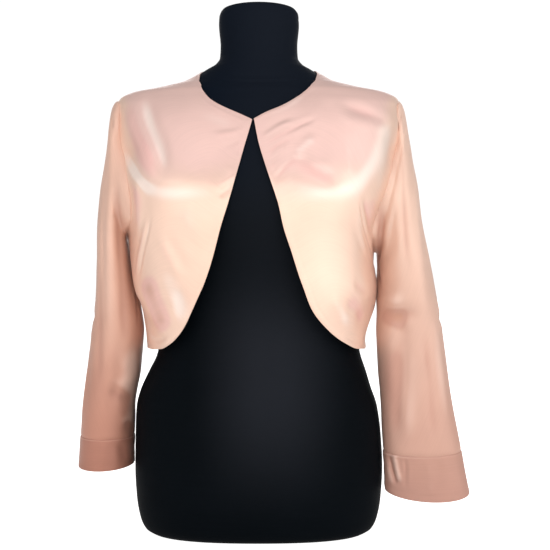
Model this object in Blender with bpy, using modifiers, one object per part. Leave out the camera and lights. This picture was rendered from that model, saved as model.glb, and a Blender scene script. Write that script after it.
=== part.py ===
"""Bolero jacket worn on a limbless dress form.

Metres, +Z up, the front faces -Y, and the origin is under the middle of the whole part.
Left and right are the wearer's, so the right side lies at negative X.
The tables are measured from the form's own axis, which AXIS sets beside the origin.
"""
import math

import bmesh
import bpy
import numpy as np

# Driving dimensions in metres
AXIS = (-0.0192, -0.0005, 0.0)
FORM_HEIGHT = 0.776
CLOTH = 0.0012
SEAM_GAP = 0.0004
UNDERARM_GAP = 0.0016
UNDERARM_SPREAD = 0.22
SHOULDER_TIP_HEIGHT = 0.6375
SIDE_NECK_HEIGHT = 0.6830
UNDERARM_HEIGHT = {"right": 0.434, "left": 0.412}
BACK_NECK_HEIGHT = 0.686
HEM_HEIGHT = 0.272
CENTRE_NECK_ROW = 0.36
UNDERARM_ROW = 0.56
SIDE_NECK_COLUMN = 0.40
SHOULDER_ROW = 0.12
QUARTER_GIRTH = 0.20

# Facets of each surface
FORM_COLUMNS = 36
FRONT_COLUMNS = 11
BACK_COLUMNS = 12
SLEEVE_ROWS = 20
CUFF_ROWS = 3
CAP_STATIONS = 4.0
FRONT_STEPS = ((SHOULDER_ROW, 4), (CENTRE_NECK_ROW, 5), (UNDERARM_ROW, 4), (1.0, 9))
BACK_STEPS = ((SHOULDER_ROW, 5), (UNDERARM_ROW, 7), (1.0, 6))

COLLECTION = "bolero_jacket_on_form"
SIDES = {"right": -1, "left": 1}

COLOURS = {
    "black_jersey": (0.012, 0.014, 0.019, 0.75),
    "blush_satin": (0.82, 0.55, 0.43, 0.38),
}


def table(columns, *rows):
    """A short table, as one array for each named column."""
    return dict(zip(columns.split(), np.array(rows, float).T))


# Half widths and depths of the dress form, upwards from its base
FORM = table(
    "height side front back shift square",
    (0.000, 0.1600, 0.094, 0.114, 0.000, 0.07),
    (0.006, 0.1690, 0.104, 0.124, 0.000, 0.07),
    (0.022, 0.1765, 0.111, 0.131, 0.000, 0.07),
    (0.050, 0.1815, 0.116, 0.136, 0.000, 0.07),
    (0.095, 0.1840, 0.118, 0.139, 0.000, 0.07),
    (0.145, 0.1825, 0.117, 0.138, -0.001, 0.07),
    (0.185, 0.1790, 0.113, 0.132, -0.003, 0.07),
    (0.210, 0.1715, 0.109, 0.126, -0.004, 0.07),
    (0.235, 0.1620, 0.104, 0.118, -0.002, 0.07),
    (0.265, 0.1505, 0.099, 0.108, 0.000, 0.07),
    (0.300, 0.1470, 0.097, 0.103, 0.000, 0.07),
    (0.340, 0.1490, 0.100, 0.103, 0.000, 0.07),
    (0.380, 0.1540, 0.108, 0.105, 0.000, 0.07),
    (0.420, 0.1590, 0.120, 0.107, 0.000, 0.07),
    (0.460, 0.1640, 0.130, 0.109, 0.000, 0.07),
    (0.500, 0.1700, 0.133, 0.110, 0.000, 0.07),
    (0.540, 0.1760, 0.126, 0.110, 0.000, 0.07),
    (0.575, 0.1820, 0.114, 0.108, 0.000, 0.07),
    (0.604, 0.1860, 0.101, 0.103, 0.000, 0.07),
    (0.626, 0.1875, 0.089, 0.097, 0.000, 0.07),
    (0.6385, 0.1820, 0.081, 0.092, 0.000, 0.07),
    (0.6455, 0.1720, 0.077, 0.089, 0.000, 0.07),
    (0.6510, 0.1550, 0.073, 0.086, 0.000, 0.06),
    (0.6560, 0.1360, 0.070, 0.083, 0.000, 0.06),
    (0.6620, 0.1160, 0.067, 0.079, 0.000, 0.04),
    (0.6720, 0.0970, 0.064, 0.074, 0.000, 0.02),
    (0.6825, 0.0805, 0.061, 0.068, 0.000, 0.00),
    (0.6910, 0.0660, 0.059, 0.063, 0.000, 0.00),
    (0.7020, 0.0585, 0.058, 0.060, 0.000, 0.00),
    (0.7200, 0.0575, 0.0575, 0.0575, 0.000, 0.00),
    (0.7520, 0.0600, 0.060, 0.060, 0.000, 0.00),
    (0.7670, 0.0590, 0.059, 0.059, 0.000, 0.00),
    (0.7730, 0.0550, 0.055, 0.055, 0.000, 0.00),
)

# How far the jacket stands out from the form, and how far it sits off the middle
EASE = table(
    "height side front back shift",
    (0.262, 0.0120, 0.024, 0.024, -0.003),
    (0.290, 0.0150, 0.028, 0.026, -0.005),
    (0.330, 0.0220, 0.030, 0.024, -0.004),
    (0.355, 0.0260, 0.028, 0.022, -0.005),
    (0.400, 0.0215, 0.019, 0.016, -0.009),
    (0.435, 0.0200, 0.011, 0.010, -0.010),
    (0.480, 0.0260, 0.005, 0.006, -0.006),
    (0.540, 0.0320, 0.004, 0.005, -0.002),
    (0.595, 0.0290, 0.004, 0.004, 0.000),
    (0.626, 0.0250, 0.004, 0.004, -0.001),
    (0.6385, 0.0250, 0.004, 0.004, -0.001),
    (0.6450, 0.0220, 0.004, 0.004, -0.001),
    (0.6520, 0.0100, 0.0035, 0.004, -0.001),
    (0.6625, 0.0040, 0.003, 0.005, 0.000),
    (0.6730, 0.0021, 0.003, 0.004, 0.000),
    (0.6900, 0.0018, 0.003, 0.003, 0.000),
)

# Cut edges of the two fronts, as seen from the front
NECKLINE = {
    "right": table(
        "across height",
        (-0.0850, 0.6775),
        (-0.0858, 0.6690),
        (-0.0856, 0.6619),
        (-0.0832, 0.6534),
        (-0.0812, 0.6461),
        (-0.0780, 0.6397),
        (-0.0734, 0.6332),
        (-0.0675, 0.6267),
        (-0.0588, 0.6204),
        (-0.0474, 0.6141),
        (-0.0276, 0.6048),
        (-0.0078, 0.5950),
    ),
    "left": table(
        "across height",
        (0.0850, 0.6770),
        (0.0850, 0.6690),
        (0.0829, 0.6615),
        (0.0791, 0.6533),
        (0.0737, 0.6459),
        (0.0678, 0.6395),
        (0.0607, 0.6330),
        (0.0521, 0.6265),
        (0.0426, 0.6202),
        (0.0314, 0.6140),
        (0.0107, 0.6047),
        (-0.0055, 0.5950),
    ),
}
FRONT_EDGE = {
    "right": table(
        "across height",
        (-0.0078, 0.5950),
        (-0.0160, 0.5640),
        (-0.0255, 0.5285),
        (-0.0440, 0.4640),
        (-0.0625, 0.3985),
        (-0.0740, 0.3650),
        (-0.0890, 0.3325),
        (-0.1070, 0.2985),
        (-0.1235, 0.2812),
        (-0.1390, 0.2730),
        (-0.1530, 0.2715),
    ),
    "left": table(
        "across height",
        (-0.0055, 0.5950),
        (0.0006, 0.5640),
        (0.0105, 0.5295),
        (0.0310, 0.4640),
        (0.0500, 0.3985),
        (0.0610, 0.3655),
        (0.0735, 0.3325),
        (0.1005, 0.2985),
        (0.1240, 0.2810),
        (0.1410, 0.2725),
        (0.1520, 0.2715),
    ),
}
ARMHOLE = {
    "right": table(
        "height front back",
        (0.6270, 0.2030, 0.2030),
        (0.6000, 0.2020, 0.2020),
        (0.5730, 0.2000, 0.1990),
        (0.5430, 0.1940, 0.1930),
        (0.5130, 0.1860, 0.1865),
        (0.4850, 0.1815, 0.1835),
        (0.4600, 0.1815, 0.1830),
    ),
    "left": table(
        "height front back",
        (0.6260, 0.2030, 0.2020),
        (0.5970, 0.2030, 0.2010),
        (0.5650, 0.2020, 0.1990),
        (0.5360, 0.1950, 0.1930),
        (0.5140, 0.1870, 0.1870),
        (0.4720, 0.1750, 0.1760),
        (0.4400, 0.1660, 0.1680),
    ),
}

# Rings of the sleeves and cuffs, from the shoulder down: the outer and the inner edge as seen from
# the front, the middle and half of the depth, and how far the front hangs below the middle
SLEEVE = {
    "right": table(
        "outer outer_height inner inner_height middle half_depth drop",
        (0.2090, 0.6380, 0.1935, 0.4340, 0.000, 0.060, 0.000),
        (0.2165, 0.6240, 0.1970, 0.4325, 0.003, 0.067, 0.000),
        (0.2205, 0.6060, 0.1985, 0.4300, 0.005, 0.070, 0.000),
        (0.2235, 0.5800, 0.1975, 0.4260, 0.007, 0.071, 0.000),
        (0.2285, 0.5450, 0.1965, 0.4200, 0.009, 0.071, 0.000),
        (0.2360, 0.5000, 0.1945, 0.4100, 0.010, 0.070, 0.000),
        (0.2405, 0.4500, 0.1925, 0.3930, 0.010, 0.068, 0.000),
        (0.2420, 0.4000, 0.1895, 0.3700, 0.010, 0.065, 0.000),
        (0.2435, 0.3465, 0.1835, 0.3350, 0.008, 0.060, 0.000),
        (0.2495, 0.2925, 0.1765, 0.2900, 0.005, 0.055, 0.000),
        (0.2555, 0.2385, 0.1785, 0.2385, 0.002, 0.052, 0.000),
        (0.2615, 0.1845, 0.1870, 0.1860, 0.000, 0.049, 0.000),
        (0.2650, 0.1390, 0.1880, 0.1390, 0.000, 0.047, 0.001),
    ),
    "left": table(
        "outer outer_height inner inner_height middle half_depth drop",
        (0.2075, 0.6380, 0.1755, 0.4120, 0.000, 0.060, 0.000),
        (0.2140, 0.6240, 0.1785, 0.4105, 0.002, 0.062, 0.000),
        (0.2190, 0.6060, 0.1795, 0.4080, 0.004, 0.067, 0.000),
        (0.2240, 0.5800, 0.1795, 0.4040, 0.006, 0.070, 0.000),
        (0.2295, 0.5450, 0.1795, 0.3980, 0.006, 0.070, 0.000),
        (0.2375, 0.5050, 0.1800, 0.3900, 0.005, 0.068, 0.000),
        (0.2440, 0.4545, 0.1805, 0.3780, 0.002, 0.064, 0.000),
        (0.2545, 0.4005, 0.1810, 0.3600, -0.002, 0.058, 0.000),
        (0.2630, 0.3465, 0.1785, 0.3350, -0.007, 0.051, 0.000),
        (0.2710, 0.2950, 0.1760, 0.2930, -0.013, 0.044, 0.000),
        (0.2770, 0.2420, 0.1770, 0.2400, -0.020, 0.038, 0.001),
        (0.2840, 0.1900, 0.1805, 0.1900, -0.027, 0.032, 0.003),
        (0.2955, 0.1215, 0.1830, 0.1210, -0.035, 0.027, 0.005),
    ),
}
CUFF = {
    "right": table(
        "outer outer_height inner inner_height middle half_depth drop",
        (0.2670, 0.1175, 0.1878, 0.1190, 0.000, 0.0470, 0.0025),
        (0.2685, 0.0945, 0.1875, 0.0980, 0.000, 0.0460, 0.0040),
    ),
    "left": table(
        "outer outer_height inner inner_height middle half_depth drop",
        (0.3010, 0.0930, 0.1840, 0.0950, -0.036, 0.0260, 0.0090),
        (0.3070, 0.0610, 0.1850, 0.0670, -0.037, 0.0250, 0.0130),
    ),
}

# Large soft folds: where each runs on the cloth, how wide it is and how far it stands out (below zero, in)
BODY_FOLDS = table(
    "turn height end_turn end_height width depth",
    (-0.92, 0.500, -0.62, 0.560, 0.016, -0.0030),
    (-0.95, 0.430, -0.70, 0.330, 0.022, 0.0035),
    (-0.80, 0.330, -0.60, 0.290, 0.016, -0.0025),
    (0.90, 0.500, 0.66, 0.570, 0.015, -0.0028),
    (0.94, 0.400, 0.74, 0.475, 0.012, -0.0030),
    (0.92, 0.330, 0.72, 0.290, 0.018, 0.0030),
    (1.30, 0.420, 1.42, 0.285, 0.022, -0.0035),
    (-1.36, 0.400, -1.46, 0.285, 0.020, 0.0035),
    (1.45, 0.530, 1.70, 0.560, 0.018, -0.0025),
    (-1.42, 0.535, -1.68, 0.575, 0.018, -0.0028),
)
# Folds of the sleeves: place around (0 outside, 0.25 front, 0.5 inside), start and end row share
SLEEVE_FOLDS = {
    "right": table(
        "around start end width depth",
        (0.20, 0.22, 0.80, 0.045, -0.0060),
        (0.36, 0.40, 0.85, 0.050, 0.0035),
        (0.30, 0.72, 0.98, 0.040, -0.0030),
        (0.72, 0.30, 0.85, 0.050, -0.0050),
        (0.90, 0.10, 0.45, 0.050, -0.0030),
    ),
    "left": table(
        "around start end width depth",
        (0.33, 0.18, 0.52, 0.050, -0.0050),
        (0.30, 0.62, 0.97, 0.040, -0.0035),
        (0.18, 0.45, 0.80, 0.050, 0.0025),
        (0.78, 0.25, 0.90, 0.050, -0.0045),
        (0.12, 0.05, 0.30, 0.045, -0.0025),
    ),
}


def smooth_value(xs, ys, at):
    """Monotone cubic through the rows xs and ys, read at one place or at several."""
    steps = np.diff(xs)
    slopes = np.diff(ys) / steps
    tangents = np.concatenate(([slopes[0]], np.zeros(len(xs) - 2), [slopes[-1]]))
    for row in range(1, len(xs) - 1):
        before, after = slopes[row - 1], slopes[row]
        if before * after > 0:
            heavy = 2 * steps[row] + steps[row - 1]
            light = steps[row] + 2 * steps[row - 1]
            tangents[row] = (heavy + light) / (heavy / before + light / after)
    at = np.clip(at, xs[0], xs[-1])
    row = np.clip(np.searchsorted(xs, at, side="right") - 1, 0, len(steps) - 1)
    step = steps[row]
    share = (at - xs[row]) / step
    rest = 1 - share
    return (
        ys[row] * (1 + 2 * share) * rest**2
        + ys[row + 1] * (3 - 2 * share) * share**2
        + step * tangents[row] * share * rest**2
        - step * tangents[row + 1] * rest * share**2
    )


def along(points, share):
    """A smooth curve through points in a plane, read by its share of length."""
    points = np.asarray(points, float)
    lengths = np.concatenate(([0], np.cumsum(np.linalg.norm(np.diff(points, axis=0), axis=1))))
    place = np.asarray(share) * lengths[-1]
    return np.stack([smooth_value(lengths, points[:, axis], place) for axis in (0, 1)], axis=-1)


def read(rows, column, height):
    """One column of a table at a height."""
    return smooth_value(rows["height"], rows[column], height)


def squared(angle, square):
    """How far a section stands out past an ellipse at an angle, for its squareness."""
    return 1 + square * np.sin(2 * angle) ** 2


def form_section(height):
    """Half width, front depth, back depth, sideways shift and squareness of the form at a height."""
    return tuple(read(FORM, column, height) for column in ("side", "front", "back", "shift", "square"))


def jacket_section(height):
    """The same five sizes for the inside of the jacket's cloth at a height."""
    side, front, back, _, square = form_section(height)
    return (
        side + read(EASE, "side", height),
        front + read(EASE, "front", height),
        back + read(EASE, "back", height),
        read(EASE, "shift", height),
        square,
    )


def section_point(section, turn, height):
    """A point of a section. A turn of 0 is the front, 1 the left side, 2 the back and -1 the right side."""
    side, front, back, shift, square = section
    angle = np.asarray(turn) * math.pi / 2
    depth = np.where(np.cos(angle) > 0, front, back)
    out = squared(angle, square)
    across = shift + side * np.sin(angle) * out
    away = -depth * np.cos(angle) * out
    return np.stack(np.broadcast_arrays(across, away, height), axis=-1)


def turn_at(across, height):
    """The turn, between -1 and 1, at which the jacket's section is this far across."""
    side, _, _, shift, square = jacket_section(height)
    angles = np.radians(np.arange(-90, 91))
    reach = np.sin(angles) * squared(angles, square)
    return np.interp((across - shift) / side, reach, angles) / (math.pi / 2)


def fold_depth(turn, height):
    """How far the large folds move the body's cloth outwards."""
    place = np.stack(np.broadcast_arrays(np.asarray(turn) * QUARTER_GIRTH, height), axis=-1)
    total = np.zeros(place.shape[:-1])
    for row in range(len(BODY_FOLDS["turn"])):
        start = np.array([BODY_FOLDS["turn"][row] * QUARTER_GIRTH, BODY_FOLDS["height"][row]])
        end = np.array([BODY_FOLDS["end_turn"][row] * QUARTER_GIRTH, BODY_FOLDS["end_height"][row]])
        run = end - start
        share = np.clip((place - start) @ run / (run @ run), 0, 1)
        gap = np.linalg.norm(place - start - share[..., None] * run, axis=-1)
        total += BODY_FOLDS["depth"][row] * np.exp(-((gap / BODY_FOLDS["width"][row]) ** 2))
    return total


def jacket_point(turn, height):
    """A point of the inside of the jacket's body."""
    turn = np.asarray(turn, float)
    point = section_point(jacket_section(height), turn, height)
    angle = turn * math.pi / 2
    out = np.stack([np.sin(angle), -np.cos(angle), np.zeros_like(angle)], axis=-1)
    return point + out * fold_depth(turn, height)[..., None]


def jacket_normal(turn, height):
    """The direction that the jacket's body faces at a point."""
    step = 0.004
    sideways = jacket_point(turn + step, height) - jacket_point(turn - step, height)
    upwards = jacket_point(turn, height + step) - jacket_point(turn, height - step)
    normal = np.cross(sideways, upwards)
    return normal / np.linalg.norm(normal)


def seam_turn(height):
    """Half of the gap at a side or shoulder seam, as a turn."""
    front = jacket_section(height)[1]
    return SEAM_GAP / 2 / (front * math.pi / 2)


def path(points):
    """An edge of a panel, as a function that gives its turn and height for a share of its length."""
    lengths = np.array([QUARTER_GIRTH, 1.0])
    return lambda share: along(np.asarray(points) * lengths, share) / lengths


def joined(first, second, row):
    """Two edges one after the other, which meet at a corner at this row."""
    return lambda share: first(share / row) if share <= row else second((share - row) / (1 - row))


def armhole(side, half):
    """The front or back half of an armhole, from the shoulder tip to the underarm."""
    sign = SIDES[side]
    rows = ARMHOLE[side]
    points = [(sign, SHOULDER_TIP_HEIGHT)]
    for height, across in zip(rows["height"], rows[half]):
        turn = turn_at(sign * across, height)
        points.append((turn if half == "front" else 2 * sign - turn, height))
    points.append((sign, UNDERARM_HEIGHT[side]))
    return path(points)


def side_seam(side):
    """The side seam, from the underarm to the hem."""
    return path([(SIDES[side], UNDERARM_HEIGHT[side]), (SIDES[side], HEM_HEIGHT)])


def front_edge(rows):
    """An edge of a front, from a table as seen from the front."""
    return [(turn_at(across, height), height) for across, height in zip(rows["across"], rows["height"])]


def front_points(side):
    """The points of a front, in rows from the shoulder seam to the hem and from the middle outwards."""
    neck = path([(SIDES[side], SIDE_NECK_HEIGHT)] + front_edge(NECKLINE[side]))
    inner = joined(neck, path(front_edge(FRONT_EDGE[side])), CENTRE_NECK_ROW)
    outer = joined(armhole(side, "front"), side_seam(side), UNDERARM_ROW)
    shares = np.linspace(0, 1, FRONT_COLUMNS + 1)[:, None]
    rows = []
    for row in panel_rows(FRONT_STEPS):
        place = inner(row) * (1 - shares) + outer(row) * shares
        limit = 1 - seam_turn(place[:, 1])
        rows.append(jacket_point(np.clip(place[:, 0], -limit, limit), place[:, 1]))
    return np.array(rows)


def panel_rows(steps):
    """Row shares from 0, evenly spaced up to each stop in turn."""
    rows = [0.0]
    for stop, count in steps:
        rows.extend(np.linspace(rows[-1], stop, count + 1)[1:])
    return rows


def back_half(side, shares):
    """Half of the back, in rows from the neck to the hem and from the centre back outwards."""
    sign = SIDES[side]
    top_points = [(2 * sign, BACK_NECK_HEIGHT), (1.5 * sign, BACK_NECK_HEIGHT), (sign, SIDE_NECK_HEIGHT)]
    neck = path(top_points)
    shoulder = path([(sign, SIDE_NECK_HEIGHT), (sign, SHOULDER_TIP_HEIGHT)])
    top = np.array([joined(neck, shoulder, SIDE_NECK_COLUMN)(share) for share in shares])
    bottom = np.stack([sign * (2 - shares), np.full(len(shares), HEM_HEIGHT)], axis=-1)
    outer = joined(armhole(side, "back"), side_seam(side), UNDERARM_ROW)
    rows = []
    for row in panel_rows(BACK_STEPS):
        place = (1 - row) * top + row * bottom
        place = place + shares[:, None] * (outer(row) - place[-1])
        limit = 1 + seam_turn(place[:, 1])
        turn = sign * np.maximum(np.abs(place[:, 0]), limit)
        rows.append(jacket_point(turn, place[:, 1]))
    return np.array(rows)


def back_points():
    """The points of the back, from the right side through the centre to the left side."""
    shares = np.linspace(0, 1, BACK_COLUMNS + 1)
    right = back_half("right", shares)[:, ::-1]
    return np.concatenate([right, back_half("left", shares)[:, 1:]], axis=1)


def ring(rows, station, side, around):
    """A ring of a sleeve at a station of its table, counted from its first row."""
    places = np.arange(len(rows["outer"]), dtype=float)
    outer, outer_height, inner, inner_height, middle, half_depth, drop = (
        smooth_value(places, values, station) for values in rows.values()
    )
    sign = SIDES[side]
    angle = around * 2 * math.pi
    centre = np.array([sign * (outer + inner) / 2, middle, (outer_height + inner_height) / 2])
    reach = np.array([sign * (outer - inner) / 2, 0, (outer_height - inner_height) / 2])
    forwards = np.array([0, -half_depth, -drop])
    return centre + np.cos(angle)[:, None] * reach + np.sin(angle)[:, None] * forwards, centre


def sleeve_places():
    """Places around a sleeve, which meet the rows of the front and of the back at the armhole."""
    front = np.array([row for row in panel_rows(FRONT_STEPS) if round(row, 6) <= UNDERARM_ROW])
    back = np.array([row for row in panel_rows(BACK_STEPS) if round(row, 6) <= UNDERARM_ROW])
    half = 2 * UNDERARM_ROW
    return np.concatenate([front / half, 1 - back[-2:0:-1] / half])


def armhole_ring(side, around):
    """The first ring of a sleeve: the armhole's own edge, moved out by the gap at its seam."""
    points = []
    for share in around:
        if share <= 0.5:
            turn, height = armhole(side, "front")(2 * share)
        else:
            turn, height = armhole(side, "back")(2 - 2 * share)
        lift = CLOTH + SEAM_GAP + UNDERARM_GAP * math.exp(-(((share - 0.5) / UNDERARM_SPREAD) ** 2))
        points.append(jacket_point(turn, height) + lift * jacket_normal(turn, height))
    return np.array(points)


def sleeve_fold(side, around, share):
    """How far the folds of a sleeve move its cloth outwards in one ring."""
    total = np.zeros(len(around))
    folds = SLEEVE_FOLDS[side]
    for row in range(len(folds["around"])):
        run = np.clip((share - folds["start"][row]) / (folds["end"][row] - folds["start"][row]), 0, 1)
        gap = (around - folds["around"][row] + 0.5) % 1 - 0.5
        rise = 0.5 - 0.5 * math.cos(2 * math.pi * run)
        total += folds["depth"][row] * rise * np.exp(-((gap / folds["width"][row]) ** 2))
    return total


def sleeve_points(side):
    """The points of a sleeve, ring by ring from the armhole to the cuff seam."""
    around = sleeve_places()
    last = len(SLEEVE[side]["outer"]) - 1
    first_ring, _ = ring(SLEEVE[side], 0.0, side, around)
    correction = armhole_ring(side, around) - first_ring
    rings = []
    for row in range(SLEEVE_ROWS + 1):
        share = row / SLEEVE_ROWS
        station = share * last
        points, centre = ring(SLEEVE[side], station, side, around)
        points = points + correction * max(0.0, 1 - station / CAP_STATIONS) ** 2
        out = points - centre
        out = out / np.linalg.norm(out, axis=1)[:, None]
        rings.append(points + out * sleeve_fold(side, around, share)[:, None])
    return np.array(rings)


def cuff_points(side):
    """The points of a cuff, ring by ring from its seam to its hem."""
    around = sleeve_places()
    rows = {}
    for column, values in CUFF[side].items():
        start = SLEEVE[side][column][-1]
        if column.endswith("height"):
            start = start - SEAM_GAP
        rows[column] = np.concatenate(([start], values))
    last = len(rows["outer"]) - 1
    return np.array([ring(rows, row / CUFF_ROWS * last, side, around)[0] for row in range(CUFF_ROWS + 1)])


def form_points():
    """The rings of the dress form, upwards from its base."""
    turns = np.arange(FORM_COLUMNS) * 4 / FORM_COLUMNS
    rings = []
    for height in FORM["height"]:
        rings.append(section_point(form_section(height), turns, height))
    return np.array(rings)


def material(name):
    """A plain material of a named colour."""
    red, green, blue, roughness = COLOURS[name]
    made = bpy.data.materials.get(name) or bpy.data.materials.new(name)
    made.use_nodes = True
    shader = made.node_tree.nodes["Principled BSDF"]
    shader.inputs["Base Color"].default_value = (red, green, blue, 1)
    shader.inputs["Roughness"].default_value = roughness
    shader.inputs["Metallic"].default_value = 0.0
    return made


def surface(name, rows, closed, turned, finish):
    """An open surface through rows of points, as an object with its material."""
    mesh = bmesh.new()
    grid = [[mesh.verts.new(point) for point in row] for row in rows + np.array(AXIS)]
    for upper, lower in zip(grid, grid[1:]):
        count = len(upper)
        for column in range(count if closed else count - 1):
            after = (column + 1) % count
            corners = [upper[column], lower[column], lower[after], upper[after]]
            mesh.faces.new(corners[::-1] if turned else corners)
    data = bpy.data.meshes.new(name)
    mesh.to_mesh(data)
    mesh.free()
    data.materials.append(finish)
    data.shade_smooth()
    obj = bpy.data.objects.new(name, data)
    bpy.data.collections[COLLECTION].objects.link(obj)
    return obj


def cloth(name, rows, closed, turned):
    """A piece of cloth: a surface given the thickness of the cloth on its outside."""
    obj = surface(name, rows, closed, turned, material("blush_satin"))
    wall = obj.modifiers.new("wall", "SOLIDIFY")
    wall.thickness = CLOTH
    wall.offset = 1.0
    wall.use_rim = True
    return obj


def dress_form():
    """The smooth form that the jacket rests on, closed by a low dome above and a flat base below."""
    obj = surface("dress_form", form_points()[::-1], True, False, material("black_jersey"))
    mesh = bmesh.new()
    mesh.from_mesh(obj.data)
    mesh.verts.ensure_lookup_table()
    rings = len(mesh.verts) // FORM_COLUMNS
    top = mesh.verts[:FORM_COLUMNS]
    base = mesh.verts[(rings - 1) * FORM_COLUMNS :]
    dome = mesh.verts.new((AXIS[0], AXIS[1], FORM_HEIGHT))
    for column in range(FORM_COLUMNS):
        mesh.faces.new((top[column], top[(column + 1) % FORM_COLUMNS], dome))
    mesh.faces.new(base[::-1])
    mesh.to_mesh(obj.data)
    mesh.free()
    return obj


def main():
    """Builds the form and every piece of the jacket."""
    for old in list(bpy.data.objects):
        bpy.data.objects.remove(old)
    group = bpy.data.collections.new(COLLECTION)
    bpy.context.scene.collection.children.link(group)
    dress_form()
    for side, sign in SIDES.items():
        cloth(f"{side}_front", front_points(side), False, sign < 0)
        cloth(f"{side}_sleeve", sleeve_points(side), True, sign > 0)
        cloth(f"{side}_cuff", cuff_points(side), True, sign > 0)
    cloth("back", back_points(), False, True)


main()
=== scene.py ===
"""Looks of a satin bolero jacket worn on a limbless dress form.

Metres, +Z up, the jacket's open front faces -Y and left and right are the wearer's.
The tables are measured from the form's own axis, which AXIS sets beside the origin.
"""
import logging
import math
from dataclasses import dataclass, field
from enum import Enum
from typing import Callable

import bmesh
import bpy
import numpy as np
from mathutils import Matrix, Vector, noise
from mathutils.bvhtree import BVHTree

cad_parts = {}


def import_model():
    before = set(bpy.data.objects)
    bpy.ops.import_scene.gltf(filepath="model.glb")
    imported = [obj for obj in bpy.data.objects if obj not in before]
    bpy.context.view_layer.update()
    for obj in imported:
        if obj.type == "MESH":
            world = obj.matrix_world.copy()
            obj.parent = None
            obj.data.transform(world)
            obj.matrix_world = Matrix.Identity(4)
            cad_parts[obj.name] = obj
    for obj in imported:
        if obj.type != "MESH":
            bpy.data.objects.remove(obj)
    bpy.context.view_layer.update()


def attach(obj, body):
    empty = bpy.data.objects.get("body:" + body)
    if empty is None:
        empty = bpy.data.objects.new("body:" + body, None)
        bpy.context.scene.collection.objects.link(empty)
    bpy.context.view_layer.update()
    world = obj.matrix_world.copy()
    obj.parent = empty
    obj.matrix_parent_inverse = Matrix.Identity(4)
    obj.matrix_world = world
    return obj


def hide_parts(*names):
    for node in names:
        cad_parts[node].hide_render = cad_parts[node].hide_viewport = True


LOG = logging.getLogger("bolero_jacket")

AXIS = (-0.0192, -0.0005, 0.0)
EYE = (0.024, -1.5, 0.378)
VIEW_HALF_WIDTH = 0.4125
FORM_HEIGHT = 0.776
CLOTH = 0.0012
SEAM_GAP = 0.0004
QUARTER_GIRTH = 0.20
CREASE_SCALE = 0.003
CREASE_END = 0.3
CREASE_WANDER = 0.12
CREASE_BANK = 0.2
CREASE_BANK_PLACE = 2.2
STEPS_PER_PLACE = 14


class Side(Enum):
    """The wearer's sides, with the sign of X on each."""

    RIGHT = -1
    LEFT = 1


class Seen(Enum):
    """Where the places of a crease are read from."""

    FRONT = (0.0, 1.0)
    BACK = (0.0, -1.0)
    RIGHT = (1.0, 0.0)
    LEFT = (-1.0, 0.0)


def smooth_value(xs: np.ndarray, ys: np.ndarray, at: np.ndarray) -> np.ndarray:
    """Monotone cubic through the rows xs and ys.

    Args:
        xs: the places of the rows, rising.
        ys: the values of the rows.
        at: one place or several.

    Returns:
        The values at those places.
    """
    steps = np.diff(xs)
    slopes = np.diff(ys) / steps
    tangents = np.concatenate(([slopes[0]], np.zeros(len(xs) - 2), [slopes[-1]]))
    for row in range(1, len(xs) - 1):
        before, after = slopes[row - 1], slopes[row]
        if before * after > 0:
            heavy = 2 * steps[row] + steps[row - 1]
            light = steps[row] + 2 * steps[row - 1]
            tangents[row] = (heavy + light) / (heavy / before + light / after)
    at = np.clip(at, xs[0], xs[-1])
    row = np.clip(np.searchsorted(xs, at, side="right") - 1, 0, len(steps) - 1)
    step = steps[row]
    share = (at - xs[row]) / step
    rest = 1 - share
    return (
        ys[row] * (1 + 2 * share) * rest**2
        + ys[row + 1] * (3 - 2 * share) * share**2
        + step * tangents[row] * share * rest**2
        - step * tangents[row + 1] * rest * share**2
    )


def bell(gap: np.ndarray, width: float) -> np.ndarray:
    """A bell curve, 1 where the gap is 0."""
    return np.exp(-((gap / width) ** 2))


def soft_step(share: np.ndarray) -> np.ndarray:
    """A share from 0 to 1 that starts and ends softly."""
    share = np.clip(share, 0, 1)
    return share * share * (3 - 2 * share)


def along(points: np.ndarray, share: np.ndarray) -> np.ndarray:
    """A smooth curve through points, read by its share of length.

    Args:
        points: the points that it runs through, one in each row.
        share: one share or several, from 0 to 1.

    Returns:
        The points at those shares.
    """
    points = np.asarray(points, float)
    lengths = np.concatenate(([0], np.cumsum(np.linalg.norm(np.diff(points, axis=0), axis=1))))
    place = np.asarray(share) * lengths[-1]
    return np.stack([smooth_value(lengths, column, place) for column in points.T], axis=-1)


def even_rows(steps: tuple[tuple[float, int], ...], finer: int) -> np.ndarray:
    """Row shares from 0, evenly spaced up to each stop in turn.

    Args:
        steps: each stop with the number of rows up to it.
        finer: how many rows take the place of each.

    Returns:
        The shares, the last of which is the last stop.
    """
    rows = [np.zeros(1)]
    for stop, count in steps:
        rows.append(np.linspace(rows[-1][-1], stop, count * finer + 1)[1:])
    return np.concatenate(rows)


@dataclass(frozen=True)
class Table:
    """Sizes row by row under named columns, read smoothly by the first column."""

    columns: str
    rows: tuple[tuple[float, ...], ...]

    def column(self, name: str) -> np.ndarray:
        """One column as an array."""
        return np.array(self.rows, float)[:, self.columns.split().index(name)]

    def read(self, name: str, at: np.ndarray) -> np.ndarray:
        """A column at one place or several of the first column."""
        return smooth_value(np.array(self.rows, float)[:, 0], self.column(name), at)


def numbers(text: str) -> tuple[tuple[float, ...], ...]:
    """Rows of numbers, one for each line of a text."""
    return tuple(tuple(map(float, line.split())) for line in text.strip().splitlines())


def table(columns: str, text: str) -> Table:
    """A table with a row for each line of a text."""
    return Table(columns, numbers(text))


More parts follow.
